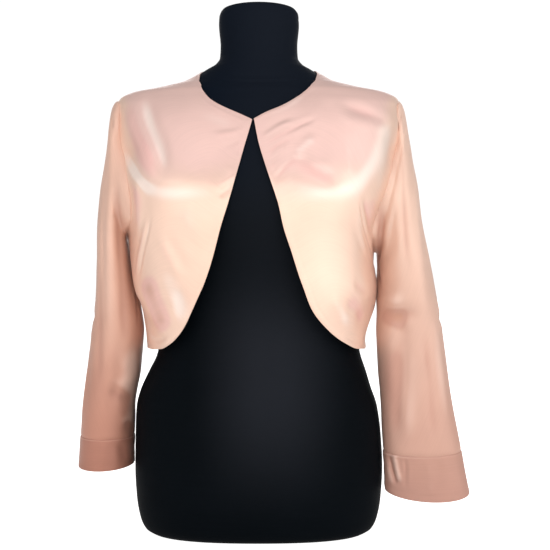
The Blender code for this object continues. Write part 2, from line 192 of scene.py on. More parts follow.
FORM = table("height side front back shift square", """
        0   .16  .094  .114     0 .07
     .006  .169  .104  .124     0 .07
     .022 .1765  .111  .131     0 .07
      .05 .1815  .116  .136     0 .07
     .095  .184  .118  .139     0 .07
     .145 .1825  .117  .138 -.001 .07
     .185  .179  .113  .132 -.003 .07
      .21 .1715  .109  .126 -.004 .07
     .235  .162  .104  .118 -.002 .07
     .265 .1505  .099  .108     0 .07
       .3  .147  .097  .103     0 .07
      .34  .149    .1  .103     0 .07
      .38  .154  .108  .105     0 .07
      .42  .159   .12  .107     0 .07
      .46  .164   .13  .109     0 .07
      .48  .167 .1321 .1095     0 .07
       .5   .17  .133   .11     0 .07
      .52  .173 .1306   .11     0 .07
      .54  .176  .126   .11     0 .07
     .575  .182  .114  .108     0 .07
     .604  .186  .101  .103     0 .07
     .626 .1875  .089  .097     0 .07
    .6385  .182  .081  .092     0 .07
    .6455  .172  .077  .089     0 .07
     .651  .155  .073  .086     0 .06
     .656  .136   .07  .083     0 .06
     .662  .116  .067  .079     0 .04
     .672  .097  .064  .074     0 .02
    .6825 .0805  .061  .068     0   0
     .691  .066  .059  .063     0   0
     .702 .0585  .058   .06     0   0
      .72 .0575 .0575 .0575     0   0
     .752   .06   .06   .06     0   0
     .767  .059  .059  .059     0   0
     .773  .055  .055  .055     0   0
""")
EASE = table("height side front back shift", """
     .262  .012  .024 .024 -.003
      .29  .015  .028 .026 -.005
      .33  .022   .03 .024 -.004
     .355  .026  .028 .022 -.005
       .4 .0215  .019 .016 -.009
     .435   .02  .011  .01  -.01
      .48  .026  .005 .006 -.006
      .54  .032  .004 .005 -.002
     .595  .029  .004 .004     0
     .626  .025  .004 .004 -.001
    .6385  .025  .004 .004 -.001
     .645  .022  .004 .004 -.001
     .652   .01 .0035 .004 -.001
    .6625  .004  .003 .005     0
     .673 .0021  .003 .004     0
      .69 .0018  .003 .003     0
""")
BODY_FOLDS = table("turn height end_turn end_height width depth", """
     -.92   .5  -.62  .56 .016  -.003
     -.95  .43   -.7  .33 .022  .0035
      -.8  .33   -.6  .29 .016 -.0025
       .9   .5   .66  .57 .015 -.0028
      .94   .4   .74 .475 .012  -.003
      .92  .33   .72  .29 .018   .003
      1.3  .42  1.42 .285 .022 -.0035
    -1.36   .4 -1.46 .285  .02  .0035
     1.45  .53   1.7  .56 .018 -.0025
    -1.42 .535 -1.68 .575 .018 -.0028
        1   .4     1 .335 .028   .003
""")


def section_point(sizes: tuple[np.ndarray, ...], turn: np.ndarray, height: np.ndarray) -> np.ndarray:
    """A point of a level section of the form or the jacket.

    Args:
        sizes: half width, front depth, back depth, shift and squareness.
        turn: 0 at the front, 1 at the left side, 2 at the back and -1 at the right side.
        height: the section's height.

    Returns:
        The point, or one point in each row.
    """
    side, front, back, shift, square = sizes
    angle = np.asarray(turn, float) * math.pi / 2
    out = 1 + square * np.sin(2 * angle) ** 2
    depth = np.where(np.cos(angle) > 0, front, back)
    across = shift + side * np.sin(angle) * out
    return np.stack(np.broadcast_arrays(across, -depth * np.cos(angle) * out, height), axis=-1)


@dataclass(frozen=True)
class Figure:
    """The form's sections and the jacket's body over them."""

    form: Table = FORM
    ease: Table = EASE
    folds: Table = BODY_FOLDS
    smoothing: tuple[tuple[float, float], ...] = ((-0.024, 1), (-0.012, 2), (0.0, 3), (0.012, 2), (0.024, 1))
    smooth_below: float = 0.61
    smooth_over: float = 0.03

    def form_sizes(self, height: np.ndarray) -> tuple[np.ndarray, ...]:
        """The form's five sizes at a height."""
        return tuple(self.form.read(name, height) for name in self.form.columns.split()[1:])

    def jacket_sizes(self, height: np.ndarray) -> tuple[np.ndarray, ...]:
        """The same five sizes for the inside of the jacket's cloth, its front smoothed up to the chest."""
        side, front, back, _, square = self.form_sizes(height)
        front = front + self.ease.read("front", height)
        level = np.zeros_like(front)
        whole = sum(weight for _, weight in self.smoothing)
        for step, weight in self.smoothing:
            near = np.asarray(height) + step
            level = level + weight / whole * (self.form.read("front", near) + self.ease.read("front", near))
        low = np.clip((self.smooth_below - np.asarray(height)) / self.smooth_over, 0, 1)
        return (
            side + self.ease.read("side", height),
            front + (level - front) * low,
            back + self.ease.read("back", height),
            self.ease.read("shift", height),
            square,
        )

    def turn_at(self, across: float, height: float) -> float:
        """The turn, between -1 and 1, at which the jacket is this far across at a height."""
        side, _, _, shift, square = self.jacket_sizes(height)
        angles = np.radians(np.arange(-90, 91))
        reach = np.sin(angles) * (1 + square * np.sin(2 * angles) ** 2)
        return float(np.interp((across - shift) / side, reach, angles) / (math.pi / 2))

    def point(self, turn: np.ndarray, height: np.ndarray) -> np.ndarray:
        """Points of the inside of the jacket's body, with its large folds.

        Args:
            turn: the turn of each point.
            height: the height of each point.

        Returns:
            One point in each row.
        """
        turn = np.asarray(turn, float)
        place = np.stack(np.broadcast_arrays(turn * QUARTER_GIRTH, height), axis=-1)
        out = np.zeros(place.shape[:-1])
        for start_turn, start_height, end_turn, end_height, width, depth in self.folds.rows:
            start = np.array([start_turn * QUARTER_GIRTH, start_height])
            run = np.array([end_turn * QUARTER_GIRTH, end_height]) - start
            share = np.clip((place - start) @ run / (run @ run), 0, 1)
            gap = np.linalg.norm(place - start - share[..., None] * run, axis=-1)
            out += depth * bell(gap, width)
        angle = turn * math.pi / 2
        away = np.stack([np.sin(angle), -np.cos(angle), np.zeros_like(angle)], axis=-1)
        return section_point(self.jacket_sizes(height), turn, height) + away * out[..., None]

    def normal(self, turn: np.ndarray, height: np.ndarray) -> np.ndarray:
        """The directions that the jacket's body faces."""
        step = 0.004
        sideways = self.point(turn + step, height) - self.point(turn - step, height)
        upwards = self.point(turn, height + step) - self.point(turn, height - step)
        facing = np.cross(sideways, upwards)
        return facing / np.linalg.norm(facing, axis=-1, keepdims=True)


Edge = Callable[[float], np.ndarray]


def path(points: list[tuple[float, float]]) -> Edge:
    """An edge of a panel, which gives a turn and a height for a share of its length."""
    lengths = np.array([QUARTER_GIRTH, 1.0])
    return lambda share: along(np.asarray(points) * lengths, share) / lengths


def joined(first: Edge, second: Edge, row: float) -> Edge:
    """Two edges one after the other, which meet at a corner at this row."""
    return lambda share: first(share / row) if share <= row else second((share - row) / (1 - row))


NECKLINES = {
    Side.RIGHT: table("across height", """
         -.085 .6775
        -.0858  .669
        -.0856 .6619
        -.0832 .6534
        -.0812 .6461
         -.078 .6397
        -.0734 .6332
        -.0675 .6267
        -.0588 .6204
        -.0474 .6141
        -.0276 .6048
        -.0078  .595
    """),
    Side.LEFT: table("across height", """
          .085  .677
          .085  .669
         .0829 .6615
         .0791 .6533
         .0737 .6459
         .0678 .6395
         .0607  .633
         .0521 .6265
         .0426 .6202
         .0314  .614
         .0107 .6047
        -.0055  .595
    """),
}
FRONT_EDGES = {
    Side.RIGHT: table("across height", """
        -.0078  .595
         -.016  .564
        -.0255 .5285
         -.044  .464
        -.0625 .3985
         -.074  .365
         -.089 .3325
         -.107 .2985
        -.1235 .2812
         -.139  .273
         -.153 .2715
    """),
    Side.LEFT: table("across height", """
        -.0055  .595
         .0006  .564
         .0105 .5295
          .031  .464
           .05 .3985
          .061 .3655
         .0735 .3325
         .1005 .2985
          .124  .281
          .141 .2725
          .152 .2715
    """),
}
ARMHOLES = {
    Side.RIGHT: table("height front back", """
        .627  .203  .203
          .6  .202  .202
        .573    .2  .199
        .543  .194  .193
        .513  .186 .1865
        .485 .1815 .1835
         .46 .1815  .183
    """),
    Side.LEFT: table("height front back", """
        .626 .203 .202
        .597 .203 .201
        .565 .202 .199
        .536 .195 .193
        .514 .187 .187
        .472 .175 .176
         .44 .166 .168
    """),
}


@dataclass(frozen=True)
class Cut:
    """The cut edges of the body's panels, as seen from the front or the back."""

    figure: Figure = Figure()
    shoulder_tip: float = 0.6375
    side_neck: float = 0.6830
    back_neck: float = 0.686
    hem: float = 0.272
    underarm: tuple[float, float] = (0.434, 0.412)

    def underarm_height(self, side: Side) -> float:
        """The height of the underarm point."""
        return self.underarm[0] if side is Side.RIGHT else self.underarm[1]

    def armhole(self, side: Side, half: str) -> Edge:
        """The front or back half of an armhole, from the shoulder tip to the underarm."""
        sign = side.value
        points = [(sign, self.shoulder_tip)]
        for height, front, back in ARMHOLES[side].rows:
            turn = self.figure.turn_at(sign * (front if half == "front" else back), height)
            points.append((turn if half == "front" else 2 * sign - turn, height))
        return path(points + [(sign, self.underarm_height(side))])

    def side_seam(self, side: Side) -> Edge:
        """The side seam, from the underarm to the hem."""
        return path([(side.value, self.underarm_height(side)), (side.value, self.hem)])

    def front_line(self, table: Table) -> list[tuple[float, float]]:
        """An edge of a front, from its table as seen from the front."""
        return [(self.figure.turn_at(across, height), height) for across, height in table.rows]


CENTRE_NECK_ROW = 0.36
UNDERARM_ROW = 0.56
SHOULDER_ROW = 0.12
FRONT_STEPS = ((SHOULDER_ROW, 4), (CENTRE_NECK_ROW, 5), (UNDERARM_ROW, 4), (1.0, 9))
BACK_STEPS = ((SHOULDER_ROW, 5), (UNDERARM_ROW, 7), (1.0, 6))


@dataclass(frozen=True)
class Crease:
    """A soft trough or ridge of the cloth.

    The places are across and up, in the upright plane through the form's axis. From the front they are
    seen from the eye, and from the other sides straight on. Tone is how strongly the crease paints shade
    into the satin's colour in its trough, and a highlight on its ridge, for its depth.
    """

    width: float
    depth: float
    places: tuple[tuple[float, float], ...]
    seen: Seen = Seen.FRONT
    tone: float = 1.0

    def on(self, tree: BVHTree) -> np.ndarray:
        """The crease's points on a piece.

        Args:
            tree: the piece's surface.

        Returns:
            One point in each row, or no rows where the crease misses the piece.
        """
        hits = []
        for across, height in along(self.places, np.linspace(0, 1, STEPS_PER_PLACE * len(self.places))):
            if self.seen is Seen.FRONT:
                start = Vector(EYE)
                aim = Vector((across, 0.0, height)) - start
            else:
                aim = Vector((*self.seen.value, 0.0))
                start = Vector((0.0, across, height) if aim.x else (across, 0.0, height)) - aim
            hit = tree.ray_cast(start, aim.normalized())[0]
            if hit is not None:
                hits.append(hit)
        return np.array(hits).reshape(-1, 3)

    def move(self, gap: np.ndarray, share: np.ndarray, number: int) -> np.ndarray:
        """How far the crease moves points of the cloth outwards.

        Args:
            gap: the distance of each point from the crease.
            share: how far along the crease each point is.
            number: the crease's own number, so that no two vary alike.

        Returns:
            The move of each point, which fades at both ends and has a low bank on each side.
        """
        taper = soft_step(np.clip(share / CREASE_END, 0, 1) * np.clip((1 - share) / CREASE_END, 0, 1))
        uneven = 1 - CREASE_WANDER + CREASE_WANDER * np.sin(9 * share + 2.1 * number)
        reach = gap / self.width
        bank = CREASE_BANK * bell(reach - CREASE_BANK_PLACE, 1.0)
        return self.depth * taper * uneven * (bell(reach, 1.0) - bank)


def creases(seen: Seen, text: str, tone: float = 1.0) -> tuple[Crease, ...]:
    """Creases from a text with one on each line.

    Args:
        seen: the side from which they are placed.
        text: width and depth in millimetres, then across and up for each place in millimetres.
        tone: how strongly they all paint shade or highlight into the satin's colour for their depth.

    Returns:
        One crease for each line.
    """
    made = []
    for width, depth, *path_numbers in numbers(text):
        places = tuple((x / 1000, z / 1000) for x, z in zip(path_numbers[::2], path_numbers[1::2]))
        made.append(Crease(width / 1000, depth / 1000, places, seen, tone))
    return tuple(made)


def nearest(points: np.ndarray, line: np.ndarray) -> tuple[np.ndarray, np.ndarray]:
    """How near points are to a line.

    Args:
        points: one point in each row.
        line: the points that the line runs through.

    Returns:
        The distance of each point, and how far along the line its nearest place is, from 0 to 1.
    """
    gap = np.full(len(points), np.inf)
    share = np.zeros(len(points))
    runs = np.diff(line, axis=0)
    for number, (start, run) in enumerate(zip(line, runs)):
        place = np.clip((points - start) @ run / max(run @ run, 1e-12), 0, 1)
        found = np.linalg.norm(points - start - place[:, None] * run, axis=1)
        closer = found < gap
        gap[closer] = found[closer]
        share[closer] = (number + place[closer]) / len(runs)
    return gap, share


class NodeKit:
    """Makes and links shader nodes in one tree."""

    def __init__(self, tree: bpy.types.NodeTree) -> None:
        """Works on a node tree."""
        self.tree = tree

    def add(self, kind: str, **values: object) -> bpy.types.Node:
        """A node with the properties that its type names.

        Args:
            kind: the node's type.
            values: its properties, or its inputs where the name is one of theirs with _ for a space.

        Returns:
            The node.
        """
        node = self.tree.nodes.new(kind)
        for name, value in values.items():
            if hasattr(node, name):
                setattr(node, name, value)
            else:
                self.feed(node.inputs[name.replace("_", " ")], value)
        return node

    def feed(self, socket: bpy.types.NodeSocket, value: object) -> None:
        """Links a socket to another, or sets its value."""
        if isinstance(value, bpy.types.NodeSocket):
            self.tree.links.new(value, socket)
        else:
            socket.default_value = value

    def math(
        self, operation: str, first: object, second: object = 0.0, clamp: bool = False
    ) -> bpy.types.NodeSocket:
        """The result of a sum."""
        node = self.add("ShaderNodeMath", operation=operation, use_clamp=clamp)
        self.feed(node.inputs[0], first)
        self.feed(node.inputs[1], second)
        return node.outputs[0]

    def span(
        self, value: object, low: float, high: float, to_low: float, to_high: float
    ) -> bpy.types.NodeSocket:
        """A value moved smoothly from one span to another."""
        node = self.add("ShaderNodeMapRange", interpolation_type="SMOOTHSTEP")
        names = ("Value", "From Min", "From Max", "To Min", "To Max")
        for name, number in zip(names, (value, low, high, to_low, to_high)):
            self.feed(node.inputs[name], number)
        return node.outputs["Result"]

    def mix(self, share: object, first: object, second: object, blend: str = "MIX") -> bpy.types.NodeSocket:
        """Two colours mixed by a share."""
        node = self.add("ShaderNodeMix", data_type="RGBA", blend_type=blend)
        self.feed(node.inputs[0], share)
        self.feed(node.inputs[6], first)
        self.feed(node.inputs[7], second)
        return node.outputs[2]


    def tinted(self, tone: object, shade: object) -> bpy.types.NodeSocket:
        """A colour multiplied by a grey."""
        grey = self.add("ShaderNodeCombineColor", Red=shade, Green=shade, Blue=shade).outputs[0]
        return self.mix(1.0, tone, grey, "MULTIPLY")

    def attribute(self, name: str) -> bpy.types.NodeSocket:
        """A value kept on the mesh's points."""
        return self.add("ShaderNodeAttribute", attribute_name=name).outputs["Fac"]


class SharedEffects:
    """Node groups that more than one finish uses."""

    def __init__(self) -> None:
        """Builds each group once."""
        self.cloud = self._cloud()
        self.threads = self._threads()

    @staticmethod
    def _group(
        name: str, inputs: dict[str, float], outputs: tuple[str, ...]
    ) -> tuple[bpy.types.NodeTree, NodeKit]:
        """An empty group with a vector input, number inputs and number outputs."""
        tree = bpy.data.node_groups.new(name, "ShaderNodeTree")
        tree.interface.new_socket("Vector", in_out="INPUT", socket_type="NodeSocketVector")
        for label, value in inputs.items():
            socket = tree.interface.new_socket(label, in_out="INPUT", socket_type="NodeSocketFloat")
            socket.default_value = value
        for label in outputs:
            tree.interface.new_socket(label, in_out="OUTPUT", socket_type="NodeSocketFloat")
        return tree, NodeKit(tree)

    def _cloud(self) -> bpy.types.NodeTree:
        """Large soft patches, as a mask."""
        tree, kit = self._group("soft_cloud", {"Scale": 8.0, "Contrast": 1.0}, ("Mask",))
        source = kit.add("NodeGroupInput").outputs
        patches = kit.add(
            "ShaderNodeTexNoise", Vector=source["Vector"], Scale=source["Scale"], Detail=2.5, Roughness=0.5
        )
        centred = kit.math("SUBTRACT", patches.outputs[0], 0.5)
        spread = kit.math("MULTIPLY", centred, source["Contrast"])
        end = kit.add("NodeGroupOutput")
        kit.feed(end.inputs["Mask"], kit.math("ADD", spread, 0.5, clamp=True))
        return tree

    def _threads(self) -> bpy.types.NodeTree:
        """Fine crossed threads with uneven thickness, as a mask and a height."""
        tree, kit = self._group("fine_threads", {"Scale": 1.0, "Slub": 0.5}, ("Mask", "Height"))
        source = kit.add("NodeGroupInput").outputs
        place = kit.add("ShaderNodeVectorMath", operation="SCALE")
        kit.feed(place.inputs[0], source["Vector"])
        kit.feed(place.inputs["Scale"], source["Scale"])
        lines = []
        for direction in ("X", "Y"):
            wave = kit.add("ShaderNodeTexWave", bands_direction=direction, Vector=place.outputs[0])
            for name, value in (("Scale", 1.0), ("Distortion", 0.6), ("Detail", 1.0)):
                kit.feed(wave.inputs[name], value)
            lines.append(wave.outputs["Fac"])
        squeeze = kit.add("ShaderNodeMapping", Vector=place.outputs[0], Scale=(0.02, 0.45, 0.3))
        slub = kit.add("ShaderNodeTexNoise", Vector=squeeze.outputs[0], Scale=1.0, Detail=2.0, Roughness=0.6)
        weave = kit.math("ADD", kit.math("MULTIPLY", lines[0], 0.35), kit.math("MULTIPLY", lines[1], 0.65))
        uneven = kit.math("MULTIPLY", kit.math("SUBTRACT", slub.outputs[0], 0.5), source["Slub"])
        end = kit.add("NodeGroupOutput")
        kit.feed(end.inputs["Mask"], kit.math("ADD", 0.5, uneven, clamp=True))
        kit.feed(end.inputs["Height"], kit.math("ADD", kit.math("MULTIPLY", weave, 0.5), uneven))
        return tree


Colour = tuple[float, float, float]


def opaque(colour: Colour) -> tuple[float, float, float, float]:
    """A colour with full cover."""
    return (*colour, 1.0)


class ClothShader:
    """A new material with the masks that every cloth starts from."""

    def __init__(
        self, name: str, effects: SharedEffects, cloud: tuple[float, float], thread: tuple[float, float]
    ) -> None:
        """Makes the material.

        Args:
            name: its name.
            effects: the shared node groups.
            cloud: scale and contrast of its soft patches.
            thread: scale and unevenness of its threads.
        """
        self.material = bpy.data.materials.new(name)
        self.material.use_nodes = True
        self.kit = NodeKit(self.material.node_tree)
        self.inputs = self.material.node_tree.nodes["Principled BSDF"].inputs
        self.place = self.kit.add("ShaderNodeTexCoord").outputs["Object"]
        flat = self.kit.add("ShaderNodeUVMap", uv_map="cloth").outputs["UV"]
        group = "ShaderNodeGroup"
        patches = self.kit.add(
            group, node_tree=effects.cloud, Vector=self.place, Scale=cloud[0], Contrast=cloud[1]
        )
        lines = self.kit.add(group, node_tree=effects.threads, Vector=flat, Scale=thread[0], Slub=thread[1])
        self.cloud = patches.outputs["Mask"]
        self.threads = lines.outputs

    def raise_threads(self, strength: float, height: float) -> None:
        """Raises the threads a little."""
        relief = self.threads["Height"]
        bump = self.kit.add("ShaderNodeBump", Strength=strength, Distance=height, Height=relief)
        self.kit.feed(self.inputs["Normal"], bump.outputs["Normal"])


@dataclass(frozen=True)
class Satin:
    """Blush satin, with its tone from the top of a piece to its foot.

    The tones run smoothly between the two heights and are painted light: a pinker top is a painted reflection
    of light from above, a peach foot is painted warm light and a darker foot is painted shade.
    Fold is the colour in the deepest trough, a painted shade, where it takes the share depth, ridge the painted
    highlight on the highest ridge and shade the painted shade in a strongly shaded place.
    """

    name: str
    top: Colour
    foot: Colour
    fold: Colour
    top_height: float
    foot_height: float
    depth: float = 0.5
    ridge: Colour = (0.94, 0.82, 0.75)
    shade: Colour = (0.52, 0.26, 0.16)
    roughness: float = 0.42
    lustre: float = 0.30

    def material(self, effects: SharedEffects) -> bpy.types.Material:
        """The finish as a material.

        Args:
            effects: the shared node groups.

        Returns:
            The material, with a Principled shader of its own.
        """
        made = ClothShader(self.name, effects, cloud=(9.0, 1.6), thread=(900.0, 0.9))
        kit, inputs, cloud = made.kit, made.inputs, made.cloud
        # Painted light: the colour runs from the top's painted reflection or lit tone down to the foot's
        # painted warm light or shade, and calm keeps the top's tone off the sides.
        height = kit.add("ShaderNodeSeparateXYZ", Vector=made.place).outputs["Z"]
        wander = kit.math("ADD", height, kit.math("MULTIPLY", kit.math("SUBTRACT", cloud, 0.5), 0.05))
        rise = kit.span(wander, self.foot_height, self.top_height, 0.0, 1.0)
        rise = kit.math("MULTIPLY", rise, kit.attribute("calm"))
        tone = kit.mix(rise, opaque(self.foot), opaque(self.top))
        tone = kit.tinted(tone, kit.span(cloud, 0.2, 0.8, 0.965, 1.035))
        # Painted shade and highlight: troughs take the fold colour, strongly shaded places the shade colour and
        # ridges the ridge colour, by the crease tone.
        crease = kit.attribute("crease")
        tone = kit.mix(kit.span(crease, -1.0, 0.0, self.depth, 0.0), tone, opaque(self.fold))
        tone = kit.mix(kit.span(crease, -3.2, -1.0, 0.8, 0.0), tone, opaque(self.shade))
        tone = kit.mix(kit.span(crease, 0.1, 1.0, 0.0, 0.75), tone, opaque(self.ridge))
        tone = kit.tinted(tone, kit.span(made.threads["Mask"], 0.0, 1.0, 0.955, 1.04))
        kit.feed(inputs["Base Color"], tone)
        kit.feed(inputs["Roughness"], kit.span(cloud, 0.1, 0.9, self.roughness - 0.03, self.roughness + 0.04))
        inputs["Metallic"].default_value = self.lustre
        inputs["Specular IOR Level"].default_value = 0.4
        inputs["Sheen Weight"].default_value = 0.10
        inputs["Sheen Roughness"].default_value = 0.45
        inputs["Sheen Tint"].default_value = opaque((1.0, 0.86, 0.80))
        made.raise_threads(0.25, 0.00012)
        return made.material


@dataclass(frozen=True)
class Jersey:
    """Matt black knitted cover of the form, bluer at the chest, with a painted highlight at the belly where the
    light's sheen falls.
    """

    name: str = "black_jersey_cover"
    dark: Colour = (0.0010, 0.0022, 0.0034)
    worn: Colour = (0.0026, 0.0042, 0.0062)
    # Painted highlight: pale is the light's sheen on the belly.
    pale: Colour = (0.0150, 0.0175, 0.0230)
    navy: Colour = (0.0028, 0.0062, 0.0135)

    def material(self, effects: SharedEffects) -> bpy.types.Material:
        """The finish as a material.

        Args:
            effects: the shared node groups.

        Returns:
            The material, with a Principled shader of its own.
        """
        made = ClothShader(self.name, effects, cloud=(11.0, 2.0), thread=(700.0, 1.2))
        kit = made.kit
        lint = kit.math("MULTIPLY", kit.math("ADD", made.cloud, made.threads["Mask"]), 0.5)
        tone = kit.mix(lint, opaque(self.dark), opaque(self.worn))
        spot = kit.add("ShaderNodeSeparateXYZ", Vector=made.place).outputs
        tone = kit.mix(kit.span(spot["Z"], 0.42, 0.60, 0.0, 0.8), tone, opaque(self.navy))
        # Painted highlight: the middle of the belly is painted pale where the light's sheen falls.
        middle = kit.span(kit.math("ABSOLUTE", spot["X"]), 0.01, 0.12, 1.0, 0.0)
        above, below = kit.span(spot["Z"], 0.02, 0.22, 0.0, 1.0), kit.span(spot["Z"], 0.26, 0.40, 1.0, 0.35)
        belly = kit.math("MULTIPLY", above, below)
        belly_sheen_share = kit.math("MULTIPLY", kit.math("MULTIPLY", middle, belly), 0.9)
        kit.feed(made.inputs["Base Color"], kit.mix(belly_sheen_share, tone, opaque(self.pale)))
        kit.feed(made.inputs["Roughness"], kit.span(made.cloud, 0.0, 1.0, 0.50, 0.60))
        made.inputs["Specular IOR Level"].default_value = 0.025
        made.raise_threads(0.35, 0.0002)
        return made.material


def mapped_grid(points: np.ndarray, closed: bool, flat: np.ndarray) -> bmesh.types.BMesh:
    """A grid laid over rows of points.

    Args:
        points: the points, by row and column.
        closed: whether the last column meets the first.
        flat: across and up for each point on the flat cloth, in metres.

    Returns:
        The mesh, with its flat places in the UV map "cloth".
    """
    rows, columns = points.shape[0] - 1, points.shape[1] - 1
    mesh = bmesh.new()
    bmesh.ops.create_grid(mesh, x_segments=columns, y_segments=rows, size=1.0)
    layer = mesh.loops.layers.uv.new("cloth")
    spots = {}
    for vert in mesh.verts:
        spots[vert] = (round((1 - vert.co.y) / 2 * rows), round((vert.co.x + 1) / 2 * columns))
    for face in mesh.faces:
        for loop in face.loops:
            loop[layer].uv = flat[spots[loop.vert]]
    for vert, spot in spots.items():
        vert.co = points[spot]
    if closed:
        bmesh.ops.remove_doubles(mesh, verts=mesh.verts, dist=1e-6)
    return mesh


def placed(name: str, data: bpy.types.ID) -> bpy.types.Object:
    """A new object in the scene."""
    made = bpy.data.objects.new(name, data)
    bpy.context.scene.collection.objects.link(made)
    return made


@dataclass
class Piece:
    """One piece of the object, made from rows of points."""

    node: str
    slot: str
    figure: Figure = field(default_factory=Figure)

    def finish(self, mesh: bmesh.types.BMesh, material: bpy.types.Material) -> bpy.types.Object:
        """Makes the piece's object and puts it in the node's place.

        Args:
            mesh: the piece's mesh, measured from the form's axis. It is freed.
            material: its finish.

        Returns:
            The object, riding on the root in place of the CAD node.
        """
        bmesh.ops.translate(mesh, verts=mesh.verts, vec=AXIS)
        data = bpy.data.meshes.new(self.node + "_cloth")
        mesh.to_mesh(data)
        mesh.free()
        data.shade_smooth()
        made = placed(self.node + "_cloth", data)
        data.materials.append(material)
        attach(made, "root")
        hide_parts(self.node)
        return made


@dataclass
class DressForm(Piece):
    """The limbless form under its stretched jersey cover."""

    node: str = "dress_form"
    slot: str = "form_jersey"
    columns: int = 96
    rings: tuple[tuple[float, int], ...] = ((0.022, 8), (0.60, 74), (0.71, 66), (0.773, 23))
    neck_seam: float = 0.6535
    neck_seam_rise: float = 0.013
    crown_seam: float = 0.7640
    crown_seam_tilt: float = 0.004
    crown_insets: tuple[float, ...] = (0.28, 0.42, 0.6, 0.99)
    crown_drop: float = 0.003
    sharp_over: float = 50.0

    def heights(self) -> np.ndarray:
        """The heights of the rings, closer together where the form turns quickly."""
        return even_rows(self.rings, 1)

    def seam(self, turns: np.ndarray, height: float) -> np.ndarray:
        """How far the cover's seam at the foot of the neck and the one at its crown pull it in."""
        sideways = np.sin(turns * math.pi / 2)
        gap = height - (self.neck_seam + self.neck_seam_rise * np.abs(sideways) ** 1.5)
        foot = 0.0009 * bell(gap, 0.0016) - 0.0006 * bell(gap - 0.004, 0.003)
        crown = 0.0007 * bell(height - self.crown_seam + self.crown_seam_tilt * sideways, 0.0012)
        return foot + crown

    def build(self, effects: SharedEffects) -> bpy.types.Object:
        """Builds the form.

        Args:
            effects: the shared node groups.

        Returns:
            The form's object.
        """
        heights = self.heights()[::-1]
        turns = np.linspace(0, 4, self.columns + 1)
        points = np.empty((len(heights), self.columns + 1, 3))
        flat = np.empty((len(heights), self.columns + 1, 2))
        for row, height in enumerate(heights):
            ring = section_point(self.figure.form_sizes(height), turns, height)
            middle = ring[:, :2].mean(axis=0)
            reach = np.linalg.norm(ring[:, :2] - middle, axis=1)
            ring[:, :2] = middle + (ring[:, :2] - middle) * (1 - self.seam(turns, height) / reach)[:, None]
            points[row] = ring
            flat[row] = np.stack([turns * QUARTER_GIRTH, np.full(len(turns), height)], axis=-1)
        mesh = mapped_grid(points, True, flat)
        for height, top in ((heights[0], FORM_HEIGHT), (0.0, 0.0)):
            open_edges = [edge for edge in mesh.edges if edge.is_boundary]
            rim = [edge for edge in open_edges if abs(edge.verts[0].co.z - height) < 1e-5]
            cap = bmesh.ops.contextual_create(mesh, geom=rim)["faces"]
            if top:
                self.dome(mesh, cap, top)
        bmesh.ops.recalc_face_normals(mesh, faces=mesh.faces)
        made = self.finish(mesh, Jersey().material(effects))
        made.data.set_sharp_from_angle(angle=math.radians(self.sharp_over))
        return made

    def dome(self, mesh: bmesh.types.BMesh, cap: list[bmesh.types.BMFace], top: float) -> None:
        """Rounds the flat cap of the neck up to its top."""
        radius = self.figure.form.column("side")[-1]
        for share in self.crown_insets:
            width = min(math.hypot(vert.co.x, vert.co.y) for vert in cap[0].verts)
            bmesh.ops.inset_region(mesh, faces=cap, thickness=width * share, use_even_offset=False)
            reach = max(math.hypot(vert.co.x, vert.co.y) for vert in cap[0].verts)
            for vert in cap[0].verts:
                vert.co.z = top - self.crown_drop * (reach / radius) ** 4


@dataclass(frozen=True)
class Sewing:
    """Sizes of the seams, their puckers, the turned edges and the rolled edge of a cuff."""

    groove: tuple[float, float] = (0.0008, 0.0026)
    pucker: float = 0.0009
    pucker_pace: float = 75.0
    pucker_reach: tuple[float, float] = (0.002, 0.012)
    turned: tuple[float, float, float] = (0.0002, 0.0035, 0.002)
    stitched: tuple[float, float, float] = (0.00012, 0.0085, 0.0016)
    rolled: tuple[float, float] = (0.0014, 0.0010)
    # A painted highlight on the rolled edge of a cuff, this strong for its height.
    rolled_tone: float = 3.0


